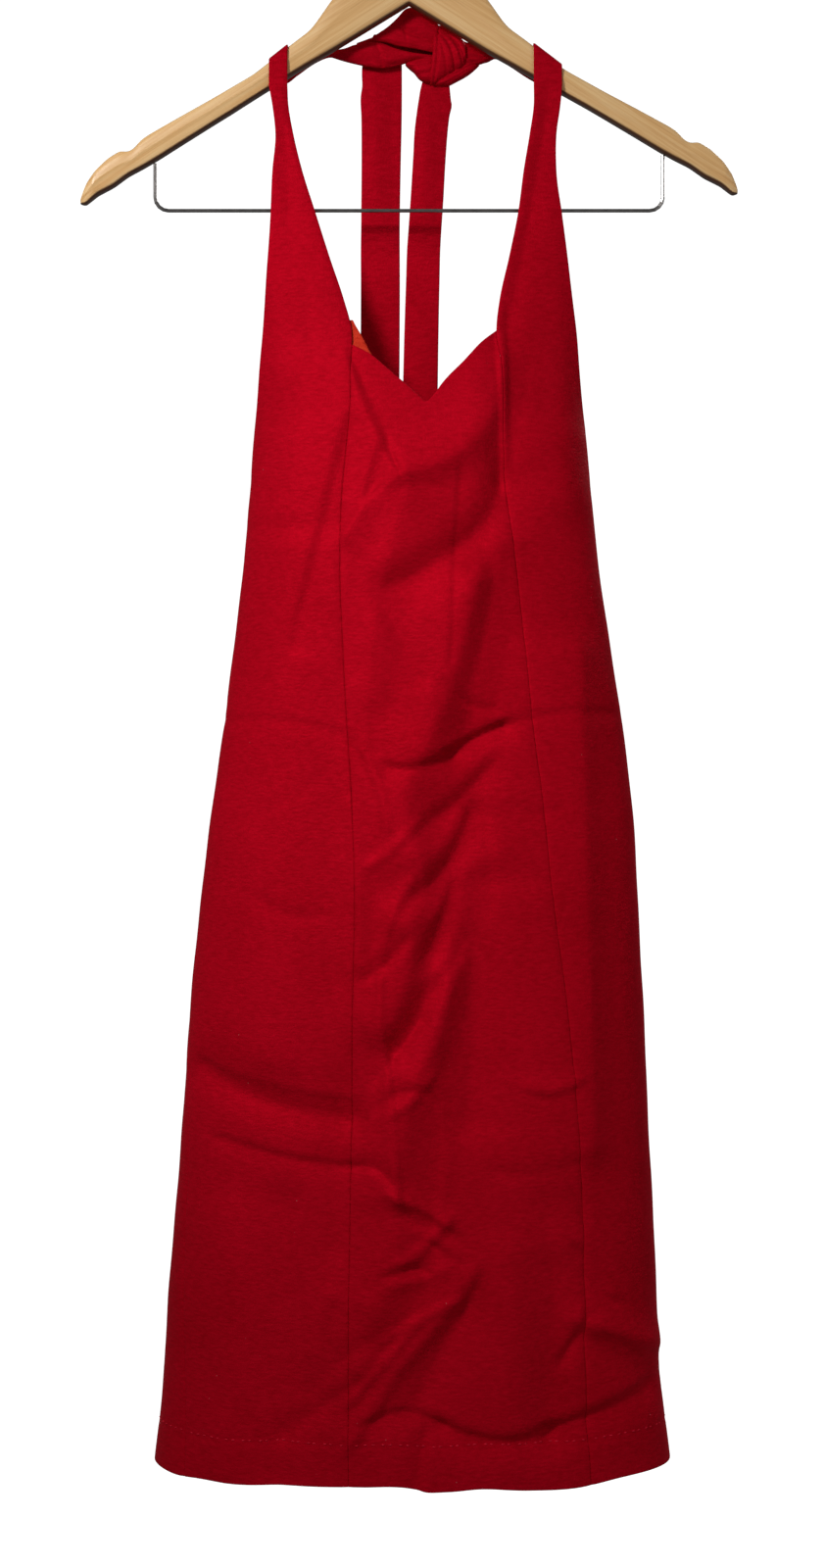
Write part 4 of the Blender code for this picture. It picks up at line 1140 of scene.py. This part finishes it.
def pillow(piece):
    """One piece of the knot: two rounded sides between its edges, pressed by its creases."""
    turn = np.linspace(0, math.pi, PILLOW_ACROSS)
    across = (1 - np.cos(turn)) / 2
    places = np.linspace(0, 1, PILLOW_STEPS)
    rows = np.linspace(0, 1, len(piece.stations))
    edges = (through(rows, column(piece.stations, key), places) for key in Station._fields)
    upper_x, upper_z, lower_x, lower_z = edges
    grid = np.empty((PILLOW_ACROSS, PILLOW_STEPS, 3))
    grid[..., 0] = upper_x + across[:, None] * (lower_x - upper_x)
    grid[..., 2] = upper_z + across[:, None] * (lower_z - upper_z)
    press = pressed((), piece.creases, grid[..., 0].copy(), grid[..., 2].copy())
    ends = np.sqrt(np.maximum(1 - (2 * places - 1) ** 4, 0))
    round_off = np.sin(turn)[:, None] ** PILLOW_SQUARE * ends
    grid[..., 1] = piece.y - press * np.minimum(round_off * 2, 1)
    half = PILLOW_EDGE + piece.bulge * round_off
    facing = np.zeros_like(grid)
    facing[..., 1] = -1
    return shell(piece.name, grid, half, facing)


def mirrored(half_line):
    """A line from end to end, from the half that runs outwards from its middle."""
    return np.concatenate([half_line[:0:-1], half_line])


def hanger_wood():
    """The wood: a rounded section with a soft ridge along each arm, between its two edges."""
    half = np.linspace(0, 1, WOOD_STATIONS // 2)
    xs = WOOD_HALF * (1 - (1 - half) ** WOOD_CROWD)
    top, under = (np.interp(xs, column(e, "x"), column(e, "z")) for e in (WOOD_TOP, WOOD_UNDER))
    kernel = np.array([1, 2, 3, 2, 1]) / 9
    for line in (top, under):
        line[3:-3] = np.convolve(np.pad(line, 2, "edge"), kernel, "valid")[3:-3]
    under = mirrored(np.minimum(under, top - WOOD_LEAST))
    top = mirrored(top)
    xs = np.concatenate([-xs[:0:-1], xs])
    tilted = np.clip((np.abs(xs) - WOOD_LEVEL) / WOOD_LEVEL, 0, 1)
    top = top + HANGER_TILT * xs
    under = under + HANGER_TILT * xs * tilted
    tip = np.clip((WOOD_HALF - np.abs(xs)) / WOOD_TIP, 0, 1) ** 0.5
    slim = WOOD_TIP_SHARE + (1 - WOOD_TIP_SHARE) * tip
    loop = [(d.down, -d.y) for d in WOOD_FACE] + [(d.down, d.y) for d in WOOD_FACE[::-1]]
    points = [
        (x, y * thin, high + (low - high) * down)
        for x, high, low, thin in zip(xs, top, under, slim)
        for down, y in loop
    ]
    return mesh_object("wood_arms", points, tube_faces(len(xs), len(loop)), WOOD)


def feed(tree, socket, value):
    """Gives a socket its value, or links it to the socket that feeds it."""
    if isinstance(value, bpy.types.NodeSocket):
        tree.links.new(value, socket)
    else:
        socket.default_value = value


def node(tree, kind, **values):
    """A new node with these properties and inputs."""
    made = tree.nodes.new(kind)
    for key, value in values.items():
        if hasattr(made, key):
            setattr(made, key, value)
        else:
            feed(tree, made.inputs[key.replace("_", " ")], value)
    return made


def noise(tree, place, **values):
    """A noise texture's value."""
    return node(tree, "ShaderNodeTexNoise", Vector=place, **values).outputs["Fac"]


def maths(tree, operation, *values):
    """The result of a math node."""
    made = node(tree, "ShaderNodeMath", operation=operation)
    for socket, value in zip(made.inputs, values):
        feed(tree, socket, value)
    return made.outputs[0]


def mix(tree, share, first, second):
    """Two colours mixed, by their sockets' numbers, as their names stand twice on the node."""
    made = node(tree, "ShaderNodeMix", data_type="RGBA", Factor=share)
    feed(tree, made.inputs[MIX_FIRST], first)
    feed(tree, made.inputs[MIX_SECOND], second)
    return made.outputs[MIX_RESULT]


def ramp(tree, source, stops):
    """A colour ramp over the source."""
    made = node(tree, "ShaderNodeValToRGB", Fac=source)
    while len(made.color_ramp.elements) < len(stops):
        made.color_ramp.elements.new(0.5)
    for element, (place, colour) in zip(made.color_ramp.elements, stops):
        element.position = place
        element.color = colour
    return made.outputs["Color"]


def relief(tree, shader, height, strength, distance):
    """Presses a height into the shader's surface."""
    bump = node(tree, "ShaderNodeBump", Strength=strength, Distance=distance, Height=height)
    feed(tree, shader.inputs["Normal"], bump.outputs["Normal"])


def new_material(name, **values):
    """A material with these inputs on its shader, its node tree and the shader."""
    made = bpy.data.materials.new(name)
    made.use_nodes = True
    shader = made.node_tree.nodes["Principled BSDF"]
    for key, value in values.items():
        shader.inputs[key.replace("_", " ")].default_value = value
    return made, made.node_tree, shader


def crepe(name, deep, mid, bright):
    """Crepe: pebbled yarns, soft patches of tone and a few specks of lint."""
    made, tree, shader = new_material(
        name,
        Roughness=0.5,
        Metallic=0.12,
        Sheen_Weight=0.03,
        Sheen_Roughness=0.5,
        Sheen_Tint=(1.0, 0.03, 0.08, 1),
        Specular_IOR_Level=0.02,
        Specular_Tint=(1.0, 0.05, 0.11, 1),
    )
    place = node(tree, "ShaderNodeTexCoord").outputs["Object"]
    yarns = node(tree, "ShaderNodeMapping", Vector=place, Scale=(190.0, 190.0, 680.0))
    patches = noise(tree, place, Scale=16.0, Detail=3.0)
    pebble = noise(tree, place, Scale=620.0, Detail=3.0, Roughness=0.7)
    grain = noise(tree, yarns.outputs[0], Scale=1.0, Detail=2.0)
    tone = maths(tree, "MULTIPLY", maths(tree, "MULTIPLY_ADD", patches, 0.5, grain), 0.667)
    colours = ramp(tree, tone, ((0.30, deep), (0.52, mid), (0.74, bright)))
    specks = node(tree, "ShaderNodeTexVoronoi", Vector=place, Scale=95.0).outputs["Distance"]
    lint = ramp(tree, specks, ((0.0, WHITE), (0.045, BLACK)))
    rare = ramp(tree, noise(tree, place, Scale=40.0, Detail=0.0), ((0.60, BLACK), (0.66, WHITE)))
    shown = maths(tree, "MULTIPLY", maths(tree, "MULTIPLY", lint, rare), 0.5)
    feed(tree, shader.inputs["Base Color"], mix(tree, shown, colours, LINT_COLOUR))
    relief(tree, shader, maths(tree, "MULTIPLY_ADD", grain, 0.6, pebble), 0.8, 0.0005)
    return made


def wood_material():
    """Pale wood whose straight grain runs along each arm, with painted shade where it faces down.
    """
    made, tree, shader = new_material(
        "pale_wood", Roughness=0.42, Coat_Weight=0.25, Coat_Roughness=0.25
    )
    place = node(tree, "ShaderNodeTexCoord").outputs["Object"]
    split = node(tree, "ShaderNodeSeparateXYZ", Vector=place).outputs
    outwards = maths(tree, "ABSOLUTE", split["X"])
    joined = node(tree, "ShaderNodeCombineXYZ", X=outwards, Y=split["Y"], Z=split["Z"])
    turn = (0, math.radians(ARM_SLOPE), 0)
    turned = node(tree, "ShaderNodeMapping", Vector=joined.outputs[0], Rotation=turn)
    stretch = (5.0, 110.0, 240.0)
    stretched = node(tree, "ShaderNodeMapping", Vector=turned.outputs[0], Scale=stretch).outputs[0]
    grain = noise(tree, stretched, Scale=1.6, Detail=6.0, Roughness=0.6, Distortion=0.4)
    fine = noise(tree, stretched, Scale=9.0, Detail=3.0)
    blend = maths(tree, "MULTIPLY_ADD", fine, 0.35, grain)
    colours = ramp(
        tree,
        blend,
        (
            (0.36, (0.62, 0.32, 0.115, 1)),
            (0.60, (0.84, 0.485, 0.19, 1)),
            (0.84, (0.95, 0.63, 0.30, 1)),
        ),
    )
    # Painted shade: faces that point down are mixed towards a dark brown, as if in the shadow under
    # the arms
    normal = node(tree, "ShaderNodeNewGeometry").outputs["Normal"]
    upward = node(tree, "ShaderNodeSeparateXYZ", Vector=normal).outputs["Z"]
    painted_shade_mix = node(tree, "ShaderNodeMapRange", Value=upward, From_Min=-0.6, From_Max=-0.35)
    feed(tree, shader.inputs["Base Color"], mix(tree, painted_shade_mix.outputs["Result"], WOOD_PAINTED_SHADE, colours))
    relief(tree, shader, blend, 0.12, 0.0003)
    return made


def metal(name, colour, roughness, metallic):
    """Metal with faint wear in its colour and its surface."""
    made, tree, shader = new_material(name, Roughness=roughness, Metallic=metallic)
    place = node(tree, "ShaderNodeTexCoord").outputs["Object"]
    wear = noise(tree, place, Scale=240.0, Detail=4.0)
    dark = tuple(c * WORN for c in colour[:3]) + (1,)
    feed(tree, shader.inputs["Base Color"], ramp(tree, wear, ((0.3, dark), (0.6, colour))))
    relief(tree, shader, wear, 0.1, 0.0002)
    return made


def stage():
    """A pale round room whose floor curves up into its wall. It shows white and lights nothing."""
    profile = [(0.0, FLOOR_Z), (ROOM_HALF - CORNER, FLOOR_Z)]
    for step in range(1, CORNER_STEPS + 1):
        angle = math.pi / 2 * step / CORNER_STEPS
        out = ROOM_HALF - CORNER + CORNER * math.sin(angle)
        profile.append((out, FLOOR_Z + CORNER - CORNER * math.cos(angle)))
    profile.append((ROOM_HALF, ROOM_TOP))
    points = []
    for turn in np.linspace(0, math.tau, ROOM_SIDES, endpoint=False):
        points += [(out * math.cos(turn), out * math.sin(turn), z) for out, z in profile]
    tall = len(profile)
    faces = []
    for side in range(ROOM_SIDES):
        first, second = side * tall, (side + 1) % ROOM_SIDES * tall
        for i in range(tall - 1):
            faces.append((first + i, second + i, second + i + 1, first + i + 1))
    floor = in_scene("floor", mesh_data("floor", points, faces))
    made = new_material(
        "pale_floor",
        Roughness=0.9,
        Base_Color=(0.62, 0.62, 0.62, 1),
        Emission_Color=WHITE,
        Emission_Strength=FLOOR_GLOW,
    )[0]
    floor.data.materials.append(made)
    floor.visible_diffuse = False
    floor.visible_glossy = False
    floor.visible_shadow = False


def lights():
    """The lamps and the room's own light."""
    world = bpy.data.worlds.new("room")
    world.use_nodes = True
    background = world.node_tree.nodes["Background"]
    background.inputs["Color"].default_value = WHITE
    background.inputs["Strength"].default_value = ROOM_LIGHT
    bpy.context.scene.world = world
    target = Vector((0, 0, LAMP_AIM_Z)) * MM
    for lamp in LAMPS:
        data = bpy.data.lights.new(lamp.name, "AREA")
        data.shape = "SQUARE"
        data.size = lamp.size * MM
        data.energy = lamp.power
        data.spread = math.radians(lamp.spread)
        data.color = (lamp.red, lamp.green, lamp.blue)
        thing = in_scene(lamp.name, data)
        thing.location = Vector((lamp.x, lamp.y, lamp.z)) * MM
        thing.rotation_euler = (target - thing.location).to_track_quat("-Z", "Y").to_euler()
        thing.visible_camera = False


def camera():
    """The photograph's camera, straight in front of the dress."""
    data = bpy.data.cameras.new("camera")
    data.angle = 2 * math.atan(VIEW_TALL / 2 / CAMERA_AWAY)
    thing = in_scene("camera", data)
    thing.location = Vector((CAMERA_X, -CAMERA_AWAY, CAMERA_Z)) * MM
    thing.rotation_euler = (math.pi / 2, 0, 0)
    bpy.context.scene.camera = thing


CREPE = crepe(
    "red_crepe", (0.37, 0.0011, 0.008, 1), (0.46, 0.0016, 0.0115, 1), (0.55, 0.0023, 0.015, 1)
)
FACING_CREPE = crepe(
    "facing_crepe", (0.46, 0.02, 0.01, 1), (0.56, 0.035, 0.016, 1), (0.64, 0.05, 0.024, 1)
)
THREAD = crepe(
    "red_thread", (0.62, 0.012, 0.03, 1), (0.72, 0.02, 0.045, 1), (0.8, 0.03, 0.06, 1)
)
WOOD = wood_material()
STEEL = metal("plated_steel", (0.34, 0.32, 0.31, 1), 0.3, 1.0)
ZIP_METAL = metal("dyed_zip", (0.30, 0.003, 0.012, 1), 0.38, 0.4)

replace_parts(centre_front(), "centre_front")
for which in ("left", "right"):
    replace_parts(side_front(which), "side_front_" + which)
    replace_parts(back(which), "back_" + which)
hem_stitches()
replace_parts(neck_facing(), "neck_facing")
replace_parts(band("band_cloth_left", BAND_LEFT, CREASES_LEFT), "neck_tie_left")
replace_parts(band("band_cloth_right", BAND_RIGHT, CREASES_RIGHT), "neck_tie_right")
for piece in (SPINDLE, UNDER_LOOP, LOBE, ROLL, SHOULDER):
    pillow(piece)
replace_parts(pillow(WRAP), "neck_knot")
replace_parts(pillow(LOOP), "tie_loop")
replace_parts(ribbon("tail_cloth_left", TAIL_LEFT, TAIL_LEFT_CREASES), "tail_left")
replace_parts(ribbon("tail_cloth_right", TAIL_RIGHT, TAIL_RIGHT_CREASES), "tail_right")
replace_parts(hanger_wood(), "hanger_wood")
for name, finish in (
    ("hanger_hook", STEEL),
    ("hanger_bar", STEEL),
    ("zip_slider", ZIP_METAL),
    ("zip_pull", ZIP_METAL),
):
    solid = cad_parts[name]
    solid.data.materials.clear()
    solid.data.materials.append(finish)

stage()
lights()
camera()
bpy.context.scene.view_settings.view_transform = "Standard"
